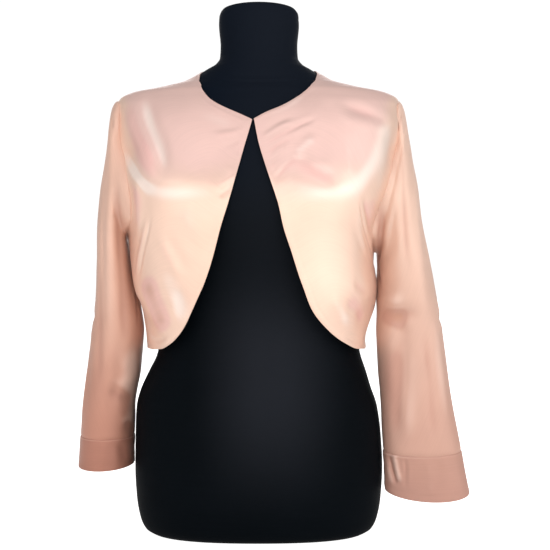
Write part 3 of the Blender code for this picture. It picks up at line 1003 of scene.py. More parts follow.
@dataclass
class ClothPiece(Piece):
    """A cut piece of satin, a thin shell on its solid's form."""

    slot: str = "jacket_satin"
    satin: Satin | None = None
    folds: tuple[Crease, ...] = ()
    cut: Cut = field(default_factory=Cut)
    flat_size: tuple[float, float] = (0.3, 0.4)
    flat_area: float = 0.08
    held: str = "draped"
    rests_on: tuple[str, ...] = ("dress_form_cloth",)
    sewing: Sewing = Sewing()
    rolled: float = 0.0
    softness: float = 0.0007
    soft_pace: float = 16.0
    least_gap: float = 0.0011
    form_reach: float = 0.012
    closed: bool = False
    outwards: tuple[float, float] = (0.0, 0.0)

    def points(self) -> np.ndarray:
        """The points of the inside of the cloth, by row and column."""
        raise NotImplementedError

    def seams(self, points: np.ndarray) -> list[np.ndarray]:
        """The points along the piece's sewn edges."""
        raise NotImplementedError

    def free_edges(self, points: np.ndarray) -> list[np.ndarray]:
        """The points along the piece's open edges."""
        raise NotImplementedError

    def flat_places(self, points: np.ndarray) -> np.ndarray:
        """Where each point lies on the flat cloth, measured along the rows and columns."""
        across = np.linalg.norm(np.diff(points, axis=1), axis=2)
        down = np.linalg.norm(np.diff(points, axis=0), axis=2)
        width = np.concatenate([np.zeros((len(points), 1)), np.cumsum(across, axis=1)], axis=1)
        length = np.concatenate([np.zeros((1, points.shape[1])), np.cumsum(down, axis=0)], axis=0)
        return np.stack([width - width[:, -1:] / 2, -length], axis=-1)

    def calm(self, normals: np.ndarray) -> np.ndarray:
        """How far each point takes the tone of the piece's top, which is painted light, by the way that it
        faces.
        """
        return np.ones(len(normals))

    def creased(self, spots: np.ndarray, tree: BVHTree) -> tuple[np.ndarray, np.ndarray]:
        """How far the creases move each point of the cloth outwards, and how they shade it.

        Args:
            spots: the mesh's points, one in each row.
            tree: the piece's surface.

        Returns:
            The outward move and the tone of each point.
        """
        out = np.zeros(len(spots))
        tone = np.zeros(len(spots))
        for number, fold in enumerate(self.folds):
            line = fold.on(tree)
            if len(line) < 4:
                LOG.warning("%s: crease %d misses the cloth", self.node, number)
                continue
            move = fold.move(*nearest(spots, line), number)
            out += move
            # The tone paints shade in the troughs and a highlight on the ridges.
            tone += fold.tone * move
        return out, tone

    def sewn(self, spots: np.ndarray, points: np.ndarray) -> np.ndarray:
        """How far the seams, their puckers and the turned edges move each point outwards.

        Args:
            spots: the mesh's points, one in each row.
            points: the piece's points by row and column.

        Returns:
            The outward move of each point.
        """
        out = np.zeros(len(spots))
        sewing = self.sewing
        depth, width = sewing.groove
        start, end = sewing.pucker_reach
        for line in self.seams(points):
            gap, share = nearest(spots, line)
            length = np.linalg.norm(np.diff(line, axis=0), axis=1).sum()
            pace = length * sewing.pucker_pace
            waves = np.array([noise.noise(Vector((place * pace, length, 0.0))) for place in share])
            out -= depth * bell(gap, width)
            out += sewing.pucker * waves * np.exp(-gap / end) * (1 - np.exp(-gap / start))
        for line in self.free_edges(points):
            gap, _ = nearest(spots, line)
            for sign, (height, middle, width) in ((1, sewing.turned), (-1, sewing.stitched)):
                out += sign * height * bell(gap - middle, width)
        return out

    def clear(self, spots: np.ndarray, form: BVHTree) -> np.ndarray:
        """The points, pushed out where they come too near the form."""
        for row, spot in enumerate(spots):
            near, facing, _, gap = form.find_nearest(Vector(spot), self.form_reach)
            if near is not None and (gap < self.least_gap or (Vector(spot) - near).dot(facing) < 0):
                spots[row] = near + facing * self.least_gap
        return spots

    def build(self, effects: SharedEffects, form: BVHTree) -> bpy.types.Object:
        """Builds the piece.

        Args:
            effects: the shared node groups.
            form: the form's surface, measured from its axis.

        Returns:
            The piece's object.
        """
        points = self.points()
        mesh = mapped_grid(points, self.closed, self.flat_places(points))
        self.face_outwards(mesh)
        mesh.verts.index_update()
        tree = BVHTree.FromBMesh(mesh)
        spots = np.array([vert.co[:] for vert in mesh.verts])
        normals = np.array([vert.normal[:] for vert in mesh.verts])
        crease, tone = self.creased(spots, tree)
        soft = np.array([noise.noise(Vector(spot) * self.soft_pace) for spot in spots]) * self.softness
        out = crease + soft + self.sewn(spots, points)
        if self.rolled:
            middle, width = self.sewing.rolled
            rim = self.rolled * bell(nearest(spots, self.seams(points)[0])[0] - middle, width)
            out += rim
            # The rolled edge also gets a painted highlight.
            tone += self.sewing.rolled_tone * rim
        spots = self.clear(spots + normals * out[:, None], form)
        # The crease tone carries painted shade and highlight, and calm how much of the top's painted tone each
        # point takes.
        layer, calm_layer = (mesh.verts.layers.float.new(name) for name in ("crease", "calm"))
        for vert, spot, move, calm in zip(mesh.verts, spots, tone + soft, self.calm(normals)):
            vert.co = spot
            vert[layer] = move / CREASE_SCALE
            vert[calm_layer] = calm
        made = self.finish(mesh, self.satin.material(effects))
        self.thicken(made)
        LOG.info("%s: %d faces", made.name, len(made.data.polygons))
        return made

    def face_outwards(self, mesh: bmesh.types.BMesh) -> None:
        """Turns the faces away from the piece's own axis."""
        total = 0.0
        for face in mesh.faces:
            centre = face.calc_center_median()
            total += face.calc_area() * (
                face.normal.x * (centre.x - self.outwards[0]) + face.normal.y * (centre.y - self.outwards[1])
            )
        if total < 0:
            bmesh.ops.reverse_faces(mesh, faces=mesh.faces)
        mesh.normal_update()

    @staticmethod
    def thicken(made: bpy.types.Object) -> None:
        """Gives the cloth its thickness on the outside, with a soft edge."""
        wall = made.modifiers.new("wall", "SOLIDIFY")
        wall.thickness = CLOTH
        wall.offset = 1.0
        wall.use_rim = True
        soft = made.modifiers.new("edge", "BEVEL")
        soft.width = 0.0004
        soft.segments = 2
        soft.limit_method = "ANGLE"
        soft.angle_limit = math.radians(55)
        soft.use_clamp_overlap = True


@dataclass
class Front(ClothPiece):
    """One of the two cut-away fronts."""

    side: Side = Side.RIGHT
    columns: int = 88
    finer: int = 7
    calm_turn: tuple[float, float] = (0.48, 0.26)

    def calm(self, normals: np.ndarray) -> np.ndarray:
        """Less of the top's painted reflection where the cloth turns to the side."""
        start, over = self.calm_turn
        return 1 - soft_step((np.abs(normals[:, 0]) - start) / over)

    def points(self) -> np.ndarray:
        """The points, from the shoulder seam to the hem and from the middle outwards."""
        cut, figure = self.cut, self.figure
        neck = path([(self.side.value, cut.side_neck)] + cut.front_line(NECKLINES[self.side]))
        inner = joined(neck, path(cut.front_line(FRONT_EDGES[self.side])), CENTRE_NECK_ROW)
        outer = joined(cut.armhole(self.side, "front"), cut.side_seam(self.side), UNDERARM_ROW)
        shares = np.linspace(0, 1, self.columns + 1)[:, None]
        rows = []
        for row in even_rows(FRONT_STEPS, self.finer):
            place = inner(row) * (1 - shares) + outer(row) * shares
            rows.append(figure.point(np.clip(place[:, 0], -1, 1), place[:, 1]))
        return np.array(rows)

    def seams(self, points: np.ndarray) -> list[np.ndarray]:
        """The shoulder, armhole and side seams."""
        return [points[0], points[:, -1]]

    def free_edges(self, points: np.ndarray) -> list[np.ndarray]:
        """The neckline, the front edge and the hem."""
        return [points[:, 0], points[-1]]


@dataclass
class Back(ClothPiece):
    """The whole back, cut in one."""

    columns: int = 76
    finer: int = 8
    side_neck_column: float = 0.40

    def half(self, side: Side) -> np.ndarray:
        """Half of the back, from the neck to the hem and from the centre back outwards."""
        cut, figure, sign = self.cut, self.figure, side.value
        neck = path([(2 * sign, cut.back_neck), (1.5 * sign, cut.back_neck), (sign, cut.side_neck)])
        shoulder = path([(sign, cut.side_neck), (sign, cut.shoulder_tip)])
        shares = np.linspace(0, 1, self.columns + 1)
        edge = joined(neck, shoulder, self.side_neck_column)
        top = np.array([edge(share) for share in shares])
        bottom = np.stack([sign * (2 - shares), np.full(len(shares), cut.hem)], axis=-1)
        outer = joined(cut.armhole(side, "back"), cut.side_seam(side), UNDERARM_ROW)
        rows = []
        for row in even_rows(BACK_STEPS, self.finer):
            place = (1 - row) * top + row * bottom
            place = place + shares[:, None] * (outer(row) - place[-1])
            rows.append(figure.point(sign * np.maximum(np.abs(place[:, 0]), 1), place[:, 1]))
        return np.array(rows)

    def points(self) -> np.ndarray:
        """The points, from the right side through the centre to the left side."""
        return np.concatenate([self.half(Side.RIGHT)[:, ::-1], self.half(Side.LEFT)[:, 1:]], axis=1)

    def neck_columns(self) -> slice:
        """The columns whose top is the neckline."""
        reach = round(self.columns * self.side_neck_column)
        return slice(self.columns - reach, self.columns + reach + 1)

    def seams(self, points: np.ndarray) -> list[np.ndarray]:
        """The shoulder, armhole and side seams."""
        middle = self.neck_columns()
        return [points[:, 0], points[:, -1], points[0, : middle.start + 1], points[0, middle.stop - 1 :]]

    def free_edges(self, points: np.ndarray) -> list[np.ndarray]:
        """The neckline and the hem."""
        return [points[0, self.neck_columns()], points[-1]]


RING = "outer outer_height inner inner_height middle half_depth drop"


def ring(rows: Table, station: float, side: Side, around: np.ndarray) -> tuple[np.ndarray, np.ndarray]:
    """A ring of a sleeve or cuff.

    Args:
        rows: its table, from the shoulder down.
        station: the place in the table, counted from its first row.
        side: the wearer's side.
        around: 0 outside, 0.25 in front and 0.5 inside, for each point.

    Returns:
        The points and the ring's centre.
    """
    sizes = np.array(rows.rows, float)
    places = np.arange(len(sizes), dtype=float)
    outer, outer_height, inner, inner_height, middle, half_depth, drop = (
        smooth_value(places, column, station) for column in sizes.T
    )
    angle = np.asarray(around) * 2 * math.pi
    centre = np.array([side.value * (outer + inner) / 2, middle, (outer_height + inner_height) / 2])
    reach = np.array([side.value * (outer - inner) / 2, 0, (outer_height - inner_height) / 2])
    forwards = np.array([0, -half_depth, -drop])
    return centre + np.cos(angle)[:, None] * reach + np.sin(angle)[:, None] * forwards, centre


SLEEVES = {
    Side.RIGHT: table(RING, """
         .209  .638 .1935  .434    0  .06    0
        .2165  .624  .197 .4325 .003 .067    0
        .2205  .606 .1985   .43 .005  .07    0
        .2235   .58 .1975  .426 .007 .071    0
        .2285  .545 .1965   .42 .009 .071    0
         .236    .5 .1945   .41  .01  .07    0
        .2405   .45 .1925  .393  .01 .068    0
         .242    .4 .1895   .37  .01 .065    0
        .2435 .3465 .1835  .335 .008  .06    0
        .2495 .2925 .1765   .29 .005 .055    0
        .2555 .2385 .1785 .2385 .002 .052    0
        .2615 .1845  .187  .186    0 .049    0
         .265  .139  .188  .139    0 .047 .001
    """),
    Side.LEFT: table(RING, """
        .2075  .638 .1755  .412     0  .06    0
         .214  .624 .1785 .4105  .002 .062    0
         .219  .606 .1795  .408  .004 .067    0
         .224   .58 .1795  .404  .006  .07    0
        .2295  .545 .1795  .398  .006  .07    0
        .2375  .505   .18   .39  .005 .068    0
         .244 .4545 .1805  .378  .002 .064    0
        .2545 .4005  .181   .36 -.002 .058    0
         .263 .3465 .1785  .335 -.007 .051    0
         .271  .295  .176  .293 -.013 .044    0
         .277  .242  .177   .24  -.02 .038 .001
         .284   .19 .1805   .19 -.027 .032 .003
        .2955 .1215  .183  .121 -.035 .027 .005
    """),
}
CUFFS = {
    Side.RIGHT: table(RING, """
        .267   .1175  .1878  .119  0  .047  .0025
        .2685  .0945  .1875  .098  0  .046  .004
    """),
    Side.LEFT: table(RING, """
        .301   .093  .184  .095  -.036  .026  .009
        .307   .061  .185  .067  -.037  .025  .013
    """),
}
SLEEVE_FOLDS = {
    Side.RIGHT: table("around start end width depth", """
        .2   .22  .8   .045  -.006
        .36  .4   .85  .05    .0035
        .3   .72  .98  .04   -.003
        .72  .3   .85  .05   -.005
        .9   .1   .45  .05   -.003
        .5   .45  .85  .09    .0036
    """),
    Side.LEFT: table("around start end width depth", """
        .33  .18  .52  .05   -.005
        .3   .62  .97  .04   -.0035
        .18  .45  .8   .05    .0025
        .78  .25  .9   .05   -.0045
        .12  .05  .3   .045  -.0025
        .5   .36  .78  .09    .0038
    """),
}


@dataclass
class Sleeve(ClothPiece):
    """A long sleeve, set into the armhole."""

    side: Side = Side.RIGHT
    closed: bool = True
    rings: int = 150
    columns: int = 160
    cap_stations: float = 4.0
    fullness: float = 0.0018
    head_stations: float = 2.6
    held: str = "hung"

    def armhole_ring(self, around: np.ndarray, lift: float) -> np.ndarray:
        """The armhole's own edge, lifted off the body by this much."""
        points = []
        front, back = self.cut.armhole(self.side, "front"), self.cut.armhole(self.side, "back")
        for share in around:
            turn, height = front(2 * share) if share <= 0.5 else back(2 - 2 * share)
            spread = lift * 0.6 * bell(share - 0.5, 0.22)
            off = (lift + spread) * self.figure.normal(turn, height)
            points.append(self.figure.point(turn, height) + off)
        return np.array(points)

    def points(self) -> np.ndarray:
        """The points, ring by ring from the armhole to the cuff seam."""
        around = np.linspace(0, 1, self.columns + 1)
        sizes = SLEEVES[self.side]
        last = len(sizes.rows) - 1
        first_ring, _ = ring(sizes, 0.0, self.side, around)
        correction = self.armhole_ring(around, CLOTH + SEAM_GAP) - first_ring
        rings = [self.armhole_ring(around, 0.0)]
        for row in range(self.rings + 1):
            share = row / self.rings
            station = share * last
            points, centre = ring(sizes, station, self.side, around)
            points = points + correction * max(0.0, 1 - station / self.cap_stations) ** 2
            out = points - centre
            out = out / np.linalg.norm(out, axis=1)[:, None]
            full = self.large_folds(around, share) + self.head(around, station)
            rings.append(points + out * full[:, None])
        return np.array(rings)

    def head(self, around: np.ndarray, station: float) -> np.ndarray:
        """How far the eased head of the sleeve stands out, which is most just past its seam."""
        top = np.clip(np.cos(around * 2 * math.pi), 0, 1) ** 1.5
        rise = math.sin(math.pi * min(station / self.head_stations, 1.0) ** 0.62)
        return self.fullness * rise * top

    def large_folds(self, around: np.ndarray, share: float) -> np.ndarray:
        """How far the sleeve's large folds move one ring outwards."""
        total = np.zeros(len(around))
        for place, start, end, width, depth in SLEEVE_FOLDS[self.side].rows:
            run = min(max((share - start) / (end - start), 0.0), 1.0)
            gap = (around - place + 0.5) % 1 - 0.5
            total += depth * (0.5 - 0.5 * math.cos(2 * math.pi * run)) * bell(gap, width)
        return total

    def seams(self, points: np.ndarray) -> list[np.ndarray]:
        """The armhole seam, the cuff seam and the seam under the arm."""
        under = points.shape[1] // 2
        return [points[1], points[-1], points[1:, under]]

    def free_edges(self, points: np.ndarray) -> list[np.ndarray]:
        """A sleeve has no open edge of its own."""
        return []


@dataclass
class Cuff(ClothPiece):
    """A plain cuff at the foot of a sleeve."""

    side: Side = Side.RIGHT
    slot: str = "cuff_satin"
    closed: bool = True
    rings: int = 30
    columns: int = 160
    proud: float = 0.0005
    rolled: float = 0.0006
    held: str = "hung"

    def points(self) -> np.ndarray:
        """The points, ring by ring from the cuff's seam to its hem."""
        around = np.linspace(0, 1, self.columns + 1)
        outer, outer_height, inner, inner_height, *rest = SLEEVES[self.side].rows[-1]
        start = (outer + self.proud, outer_height, inner - self.proud, inner_height, *rest)
        sizes = Table(RING, (start, *CUFFS[self.side].rows))
        stations = [row / self.rings * (len(sizes.rows) - 1) for row in range(self.rings + 1)]
        return np.array([ring(sizes, station, self.side, around)[0] for station in stations])

    def seams(self, points: np.ndarray) -> list[np.ndarray]:
        """The seam to the sleeve and the one under the arm."""
        under = points.shape[1] // 2
        return [points[0], points[:, under]]

    def free_edges(self, points: np.ndarray) -> list[np.ndarray]:
        """The cuff's hem."""
        return [points[-1]]


# The tones of these finishes are painted light. The fronts and back are pinker at the top, a painted reflection
# of light from above, and peach lower down, painted warm light. The sleeves and cuffs darken towards their
# feet, painted shade, and the right ones are painted darker than the left as the side turned from the light.
# Fold colours are painted shade, ridge colours painted highlight.
BODY_SATIN = Satin(
    "blush_satin_body", (0.78, 0.55, 0.495), (0.86, 0.62, 0.50), (0.80, 0.48, 0.44), 0.540, 0.470, 0.7,
    roughness=0.34, lustre=0.42,
)
BACK_SATIN = Satin(
    "blush_satin_back", (0.82, 0.57, 0.50), (0.84, 0.59, 0.49), (0.74, 0.46, 0.40), 0.56, 0.44, 0.7,
    roughness=0.36, lustre=0.36,
)
RIGHT_SATIN = Satin(
    "blush_satin_right_sleeve", (0.74, 0.48, 0.375), (0.50, 0.240, 0.172), (0.44, 0.21, 0.16),
    0.46, 0.14, 0.6, (0.80, 0.55, 0.45), lustre=0.16,
)
LEFT_SATIN = Satin(
    "blush_satin_left_sleeve", (0.80, 0.56, 0.45), (0.59, 0.35, 0.275), (0.50, 0.25, 0.19),
    0.50, 0.14, 0.6, (0.82, 0.62, 0.53), lustre=0.16,
)
RIGHT_CUFF_SATIN = Satin(
    "blush_satin_right_cuff", (0.42, 0.19, 0.135), (0.40, 0.178, 0.125), (0.30, 0.13, 0.09),
    0.14, 0.09, 0.5, (0.66, 0.42, 0.33), lustre=0.16,
)
LEFT_CUFF_SATIN = Satin(
    "blush_satin_left_cuff", (0.51, 0.285, 0.222), (0.48, 0.265, 0.21), (0.36, 0.17, 0.12),
    0.12, 0.06, 0.5, (0.74, 0.52, 0.44), lustre=0.16,
)

# Every crease paints shade into its trough and a highlight onto its ridge. The rows of tone 4 are painted
# highlight bands along the armhole and across the bust and upper chest, with a faint painted shade below them,
# and the row of tone 9 is a painted shade patch low on the front.
RIGHT_FRONT_FOLDS = creases(Seen.FRONT, """
    8.5 2.3  -177 655  -165 607.5  -152 570  -134 518
    13 -3.2  -200 650  -189 598.5  -174 565.5  -152 520
    9 -2.2  -187.5 532.5  -181.5 483  -180 436.5
    2.4 1.3  -162 469.5  -168 439.5  -175.5 403.5  -181.5 366
    3.5 -1.4  -168 466.5  -174 436.5  -181.5 400.5  -186 367.5
    10 -.7  -122 486  -105 454.5  -86 418
    7 -.6  -155 440  -136.5 406.5  -116 366
    8 .5  -142 446  -124.5 412.5  -104 372
    9 1.4  -130.5 361.5  -121.5 334.5  -124.5 307.5
    4 1.2  -169.5 289.5  -154.5 282  -136.5 286.5
    3.5 -.8  -21 597  -43.5 591  -70.5 586.5
    4 .7  -24 583.5  -40.5 576  -61.5 565.5
    4 -1.2  -28.5 535.5  -43.5 525  -61.5 511.5
    5 1.1  -30 520.5  -46.5 507  -64.5 496.5
""") + creases(Seen.FRONT, """
    11 .6  -218 640  -207 576  -191 538  -166 507  -138 501  -95 500  -24 494
    7 .6  -216 612  -208 576  -192 540  -172 514  -148 504
    10 .25  -92 622  -66 611  -34 598
    8 -.2  -86 532  -64 512  -44 490
""", tone=4.0) + creases(Seen.FRONT, "18 -.8  -172 384  -162 350  -150 318  -138 284", tone=9.0)
# The rows of tone 4 are painted highlight bands along the armhole, across the bust and on the upper chest, and
# painted shade at the side and low on the front.
LEFT_FRONT_FOLDS = creases(Seen.FRONT, """
    3.4 -1.2  -2 565  23 582  41 591  64 604  90 613
    4 1.2  -2 576  14 588  32 600  56 611
    3.4 -1.3  2 550  16 563  30 574  58 589
    3.6 -1.7  12 530  20 541  30 555  40 577
    4.4 1.6  18 540  30 557  44 576
    4.4 -1.7  22 516  32 529  42 541  58 555
    7 1.7  50 552  62 565  74 577  86 588
    11 -2  40 560  60 546  90 531  126 513
    9 -1.5  116 634  145 625  172 616  202 602
    9 -.7  104 646  106 618  108 574
    9 .7  130 596  133 560  136 514
    6 -2.2  154.5 499.5  162 469.5  168 436.5
    2.2 -1.8  149 492  156 454.5  163.5 427.5  172 396
    4 1  144 478.5  148.5 451.5  156 424.5  163.5 403.5
    8 -1.4  139.5 367.5  153 358.5  163.5 346.5
    9 -1.5  127.5 340.5  145.5 328.5  154.5 307.5
    7 1.1  106.5 346.5  123 322.5  133.5 295.5
""") + creases(Seen.FRONT, """
    14 .6  194 650  185 592  175 556  159 528  138 508  99 501  46 496  0 490
    11 .35  196 620  190 565  181 520  170 478
    9 .3  0 604  20 616  50 634  76 660
    9 -.5  168 500  170 470  174 430
    14 -.5  132 352  150 330  154 300
""", tone=4.0)
# The rows of tone 12 paint the sleeve lighter along its inner side and its outer edge, painted light where the
# shape falls into shade.
RIGHT_SLEEVE_FOLDS = creases(Seen.FRONT, """
    8 -2.2  -213 565.5  -213 505.5  -211.5 430.5  -205.5 340.5  -199.5 238.5
    12 1  -229 535.5  -227 430.5  -221 310.5  -215 232.5
    5 -2.2  -189 397.5  -184.5 340.5  -181.5 292.5
    8 1.3  -232 228  -207 216  -182 226
    8 -2  -226 206  -202.5 193.5  -180 200
    7 1.3  -214 158  -196.5 163.5  -182 176
    7 -1.6  -204 158  -193 146  -186 130
    2.6 -1.4  -222 625.5  -219 612  -219 594
    2.6 1  -214.5 619.5  -211.5 604.5  -211.5 583.5
    9 1.2  -243 483  -244.5 385.5  -250.5 265.5
    7 -1.4  -237 415.5  -237 310.5  -241.5 190.5
""") + creases(Seen.FRONT, """
    17 .25  -190 290  -192 235  -190 180  -190 110
    9 .15  -248 500  -250 400  -254 300  -260 200
""", tone=12.0)
# The rows of tone 4 are painted shade along the sleeve's inner side and at the elbow.
LEFT_SLEEVE_FOLDS = creases(Seen.FRONT, """
    5 -3.2  187.5 480  183 433.5  180 388.5  184.5 352.5
    10 .9  180 350  196 341  220 338
    10 -2.2  182 328  203 318  226.5 320  242 308
    9 -1.2  201 307.5  214.5 292.5  210 262
    5 -1.6  213 592.5  216 520.5  220.5 430.5  225 367.5
    8 1.5  228 565.5  238.5 445.5  249 346.5
    8 -1.6  211.5 290  210 220.5  207 120
    11 .9  227 290  224.5 196.5  221 110
    9 1.7  259.5 340.5  271.5 232.5  285 130.5
    6 -1.4  247.5 295.5  256.5 205.5  262.5 121.5
    2.6 -1.5  216 625.5  211.5 609  207 586.5
    2.6 1  222 622.5  220.5 604.5  217.5 580.5
""") + creases(Seen.FRONT, """
    9 -.6  184 500  180 450  180 400  182 350
    14 -1.1  180 324  200 312  228 312
    16 -.6  190 300  200 250  200 190  200 120
""", tone=4.0)
# The row of tone 12 paints the cuff lighter on its inner side, painted light where the shape falls into shade.
RIGHT_CUFF_FOLDS = creases(Seen.FRONT, """
    6 -1.4  -210 127.5  -205.5 114  -202.5 97.5
    5 .8  -232.5 127.5  -232.5 108  -234 88.5
""") + creases(Seen.FRONT, "16 .12  -192 136  -192 114  -192 86", tone=12.0)
# The row of tone 12 paints the cuff lighter on its inner side, painted light where the shape falls into shade.
LEFT_CUFF_FOLDS = creases(Seen.FRONT, """
    2.8 1.6  202.5 112.5  207 91.5  213 64.5
    3 -2.6  195 111  199.5 88.5  207 61.5
    2.4 -1.2  217.5 108  220.5 85.5  219 55.5
    7 1  253.5 103.5  256.5 73.5  258 43.5
""") + creases(Seen.FRONT, "12 .12  196 116  200 90  206 56", tone=12.0)
BACK_FOLDS = creases(Seen.BACK, """
    8 2.2  -178 600  -150 560  -118 536
    7 -2  -186 570  -158 535  -130 516
    6 1.4  -184 520  -156 498  -128 488
    8 2.4  180 604  152 566  124 536
    8 -2.2  188 576  160 540  128 524
    6 -1.3  182 498  160 484  136 480
    9 -2.2  -92 440  -88 380  -96 300
    11 2.2  -70 420  -66 350  -72 284
    8 -1.6  84 430  92 370  88 292
    10 1.8  112 420  116 350  108 288
    12 -1.5  20 400  26 350  22 286
    9 1.2  -24 380  -20 330  -26 280
    5 -1.1  -90 655  -112 630  -140 612
    5 -1  92 655  116 632  138 618
    6 .9  -40 668  0 655  44 668
""")
RIGHT_SLEEVE_BACK = creases(Seen.BACK, """
    6 -3  -206 560  -208 480  -206 390  -204 300
    8 1.8  -222 540  -226 440  -222 330
    6 -2.4  -236 380  -222 352  -200 344
    5 1.6  -238 358  -222 334  -200 326
    7 -1.8  -216 300  -220 230  -214 160
    7 1.5  -238 290  -244 210  -248 150
""")
LEFT_SLEEVE_BACK = creases(Seen.BACK, """
    6 -2.8  200 560  204 470  210 390  214 320
    8 1.8  222 550  232 450  240 350
    6 -2.4  250 350  232 330  206 326
    5 1.5  252 330  234 308  208 304
    7 -1.8  222 290  230 220  236 150
    7 1.4  258 280  268 210  278 150
""")
RIGHT_SLEEVE_SIDE = creases(Seen.RIGHT, """
    7 -2.4  -18 570  -12 470  -16 380
    9 1.6  14 540  20 430  14 330
    6 -1.8  -30 330  -8 316  18 322
    7 -1.8  10 280  14 220  8 150
    7 1.4  -18 260  -20 200  -16 150
""")
LEFT_SLEEVE_SIDE = creases(Seen.LEFT, """
    7 -2.2  -20 560  -14 460  -18 370
    9 1.6  18 550  20 440  8 340
    6 -1.8  -36 330  -14 312  12 316
    7 -1.6  -4 280  -12 210  -22 150
""")


@dataclass
class Jacket:
    """All the pieces of the jacket."""

    pieces: tuple[ClothPiece, ...] = (
        Back("back", satin=BACK_SATIN, folds=BACK_FOLDS, flat_size=(0.56, 0.45), flat_area=0.199),
        Front(
            "right_front", satin=BODY_SATIN, folds=RIGHT_FRONT_FOLDS, flat_size=(0.29, 0.44), flat_area=0.076
        ),
        Front(
            "left_front", satin=BODY_SATIN, folds=LEFT_FRONT_FOLDS, flat_size=(0.29, 0.44), flat_area=0.079,
            side=Side.LEFT,
        ),
        Sleeve(
            "right_sleeve", satin=RIGHT_SATIN, folds=RIGHT_SLEEVE_FOLDS + RIGHT_SLEEVE_BACK + RIGHT_SLEEVE_SIDE,
            flat_size=(0.38, 0.52), flat_area=0.124, outwards=(-0.218, 0.005),
            rests_on=("right_front_cloth", "back_cloth"),
        ),
        Sleeve(
            "left_sleeve", satin=LEFT_SATIN, folds=LEFT_SLEEVE_FOLDS + LEFT_SLEEVE_BACK + LEFT_SLEEVE_SIDE,
            flat_size=(0.38, 0.54), flat_area=0.129, outwards=(0.222, -0.005),
            rests_on=("left_front_cloth", "back_cloth"), side=Side.LEFT,
        ),
        Cuff(
            "right_cuff", satin=RIGHT_CUFF_SATIN, folds=RIGHT_CUFF_FOLDS, flat_size=(0.27, 0.05),
            flat_area=0.0115, outwards=(-0.228, 0.0), rests_on=("right_sleeve_cloth",),
        ),
        Cuff(
            "left_cuff", satin=LEFT_CUFF_SATIN, folds=LEFT_CUFF_FOLDS, flat_size=(0.28, 0.07),
            flat_area=0.0157, outwards=(0.243, -0.036), rests_on=("left_sleeve_cloth",), side=Side.LEFT,
        ),
    )

    def build(self, effects: SharedEffects, form: bpy.types.Object) -> None:
        """Builds every piece over the form.

        Args:
            effects: the shared node groups.
            form: the form's object.
        """
        mesh = bmesh.new()
        mesh.from_mesh(form.data)
        bmesh.ops.translate(mesh, verts=mesh.verts, vec=-Vector(AXIS))
        tree = BVHTree.FromBMesh(mesh)
        mesh.free()
        for piece in self.pieces:
            piece.build(effects, tree)


@dataclass(frozen=True)
class SoftLight:
    """A large soft panel of light."""

    name: str
    place: tuple[float, float, float]
    aim: tuple[float, float, float]
    width: float
    height: float
    power: float
    colour: Colour = (1.0, 1.0, 1.0)

    def build(self) -> None:
        """Hangs the light and aims it."""
        data = bpy.data.lights.new(self.name, "AREA")
        data.shape = "RECTANGLE"
        data.size = self.width
        data.size_y = self.height
        data.energy = self.power
        data.color = self.colour
        made = placed(self.name, data)
        made.location = self.place
        made.rotation_euler = (Vector(self.aim) - Vector(self.place)).to_track_quat("-Z", "Y").to_euler()


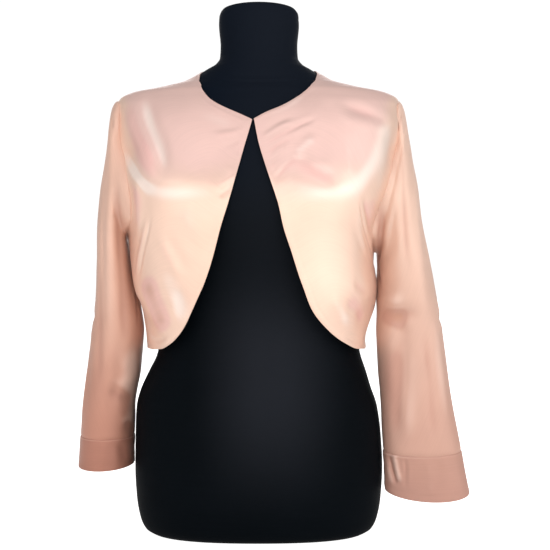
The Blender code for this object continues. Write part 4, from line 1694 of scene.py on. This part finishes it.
@dataclass
class Studio:
    """The floor, the light and the camera."""

    lights: tuple[SoftLight, ...] = (
        SoftLight("front_panel", (0.1, -2.4, 0.72), (0.0, 0.0, 0.48), 6.0, 0.45, 22.0, (1.0, 0.98, 0.96)),
        SoftLight("high_panel", (0.2, -1.5, 2.0), (0.0, 0.0, 0.55), 4.0, 1.2, 15.5, (1.0, 0.88, 0.89)),
        SoftLight("low_panel", (0.3, -2.2, 0.02), (0.0, 0.0, 0.4), 5.0, 0.6, 11.5, (1.0, 0.84, 0.68)),
        SoftLight("right_panel", (2.3, -1.3, 0.9), (0.0, 0.0, 0.48), 2.4, 2.4, 17.0, (1.0, 0.98, 0.96)),
        SoftLight("left_panel", (-2.3, -1.3, 0.9), (0.0, 0.0, 0.48), 2.4, 2.4, 9.0, (1.0, 0.97, 0.95)),
        SoftLight("back_panel", (0.0, 2.3, 1.3), (0.0, 0.0, 0.4), 2.4, 1.4, 14.0),
    )
    ambient: float = 0.42
    floor_glow: float = 0.30
    floor_seen: float = 1.0
    backdrop_seen: float = 1.05

    def camera(self) -> None:
        """The camera, at the photograph's angle."""
        data = bpy.data.cameras.new("camera")
        data.sensor_fit = "HORIZONTAL"
        data.angle = 2 * math.atan(VIEW_HALF_WIDTH / -EYE[1])
        made = placed("camera", data)
        made.location = Vector(EYE) + Vector(AXIS)
        made.rotation_euler = (math.pi / 2, 0, 0)
        bpy.context.scene.camera = made

    def floor(self) -> None:
        """A plain pale floor."""
        mesh = bmesh.new()
        bmesh.ops.create_grid(mesh, x_segments=1, y_segments=1, size=14.0)
        bmesh.ops.translate(mesh, verts=mesh.verts, vec=(0, 0, -0.0004))
        data = bpy.data.meshes.new("floor")
        mesh.to_mesh(data)
        mesh.free()
        made = placed("floor", data)
        pale = bpy.data.materials.new("pale_floor")
        pale.use_nodes = True
        shader = pale.node_tree.nodes["Principled BSDF"]
        shader.inputs["Base Color"].default_value = opaque((0.8, 0.79, 0.78))
        shader.inputs["Roughness"].default_value = 0.9
        shader.inputs["Specular IOR Level"].default_value = 0.1
        shader.inputs["Emission Color"].default_value = opaque((1.0, 1.0, 1.0))
        kit = NodeKit(pale.node_tree)
        seen = kit.add("ShaderNodeLightPath").outputs["Is Camera Ray"]
        glow = kit.span(seen, 0.0, 1.0, self.floor_glow, self.floor_seen)
        kit.feed(shader.inputs["Emission Strength"], glow)
        data.materials.append(pale)

    def backdrop(self) -> None:
        """White all round, which lights the object less than it shows."""
        world = bpy.data.worlds.new("white_room")
        bpy.context.scene.world = world
        world.use_nodes = True
        kit = NodeKit(world.node_tree)
        seen = world.node_tree.nodes["Background"]
        seen.inputs["Color"].default_value = opaque((1.0, 1.0, 1.0))
        share = kit.add("ShaderNodeLightPath").outputs["Is Camera Ray"]
        kit.feed(seen.inputs["Strength"], kit.span(share, 0.0, 1.0, self.ambient, self.backdrop_seen))

    def build(self) -> None:
        """Builds the whole studio."""
        self.camera()
        self.floor()
        self.backdrop()
        for light in self.lights:
            light.build()
        bpy.context.scene.view_settings.view_transform = "Standard"


def main() -> None:
    """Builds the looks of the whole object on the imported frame."""
    logging.basicConfig(level=logging.INFO, format="%(message)s")
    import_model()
    Studio().build()
    effects = SharedEffects()
    form = DressForm().build(effects)
    LOG.info("%s: %d faces", form.name, len(form.data.polygons))
    Jacket().build(effects, form)


if __name__ == "__main__":
    main()
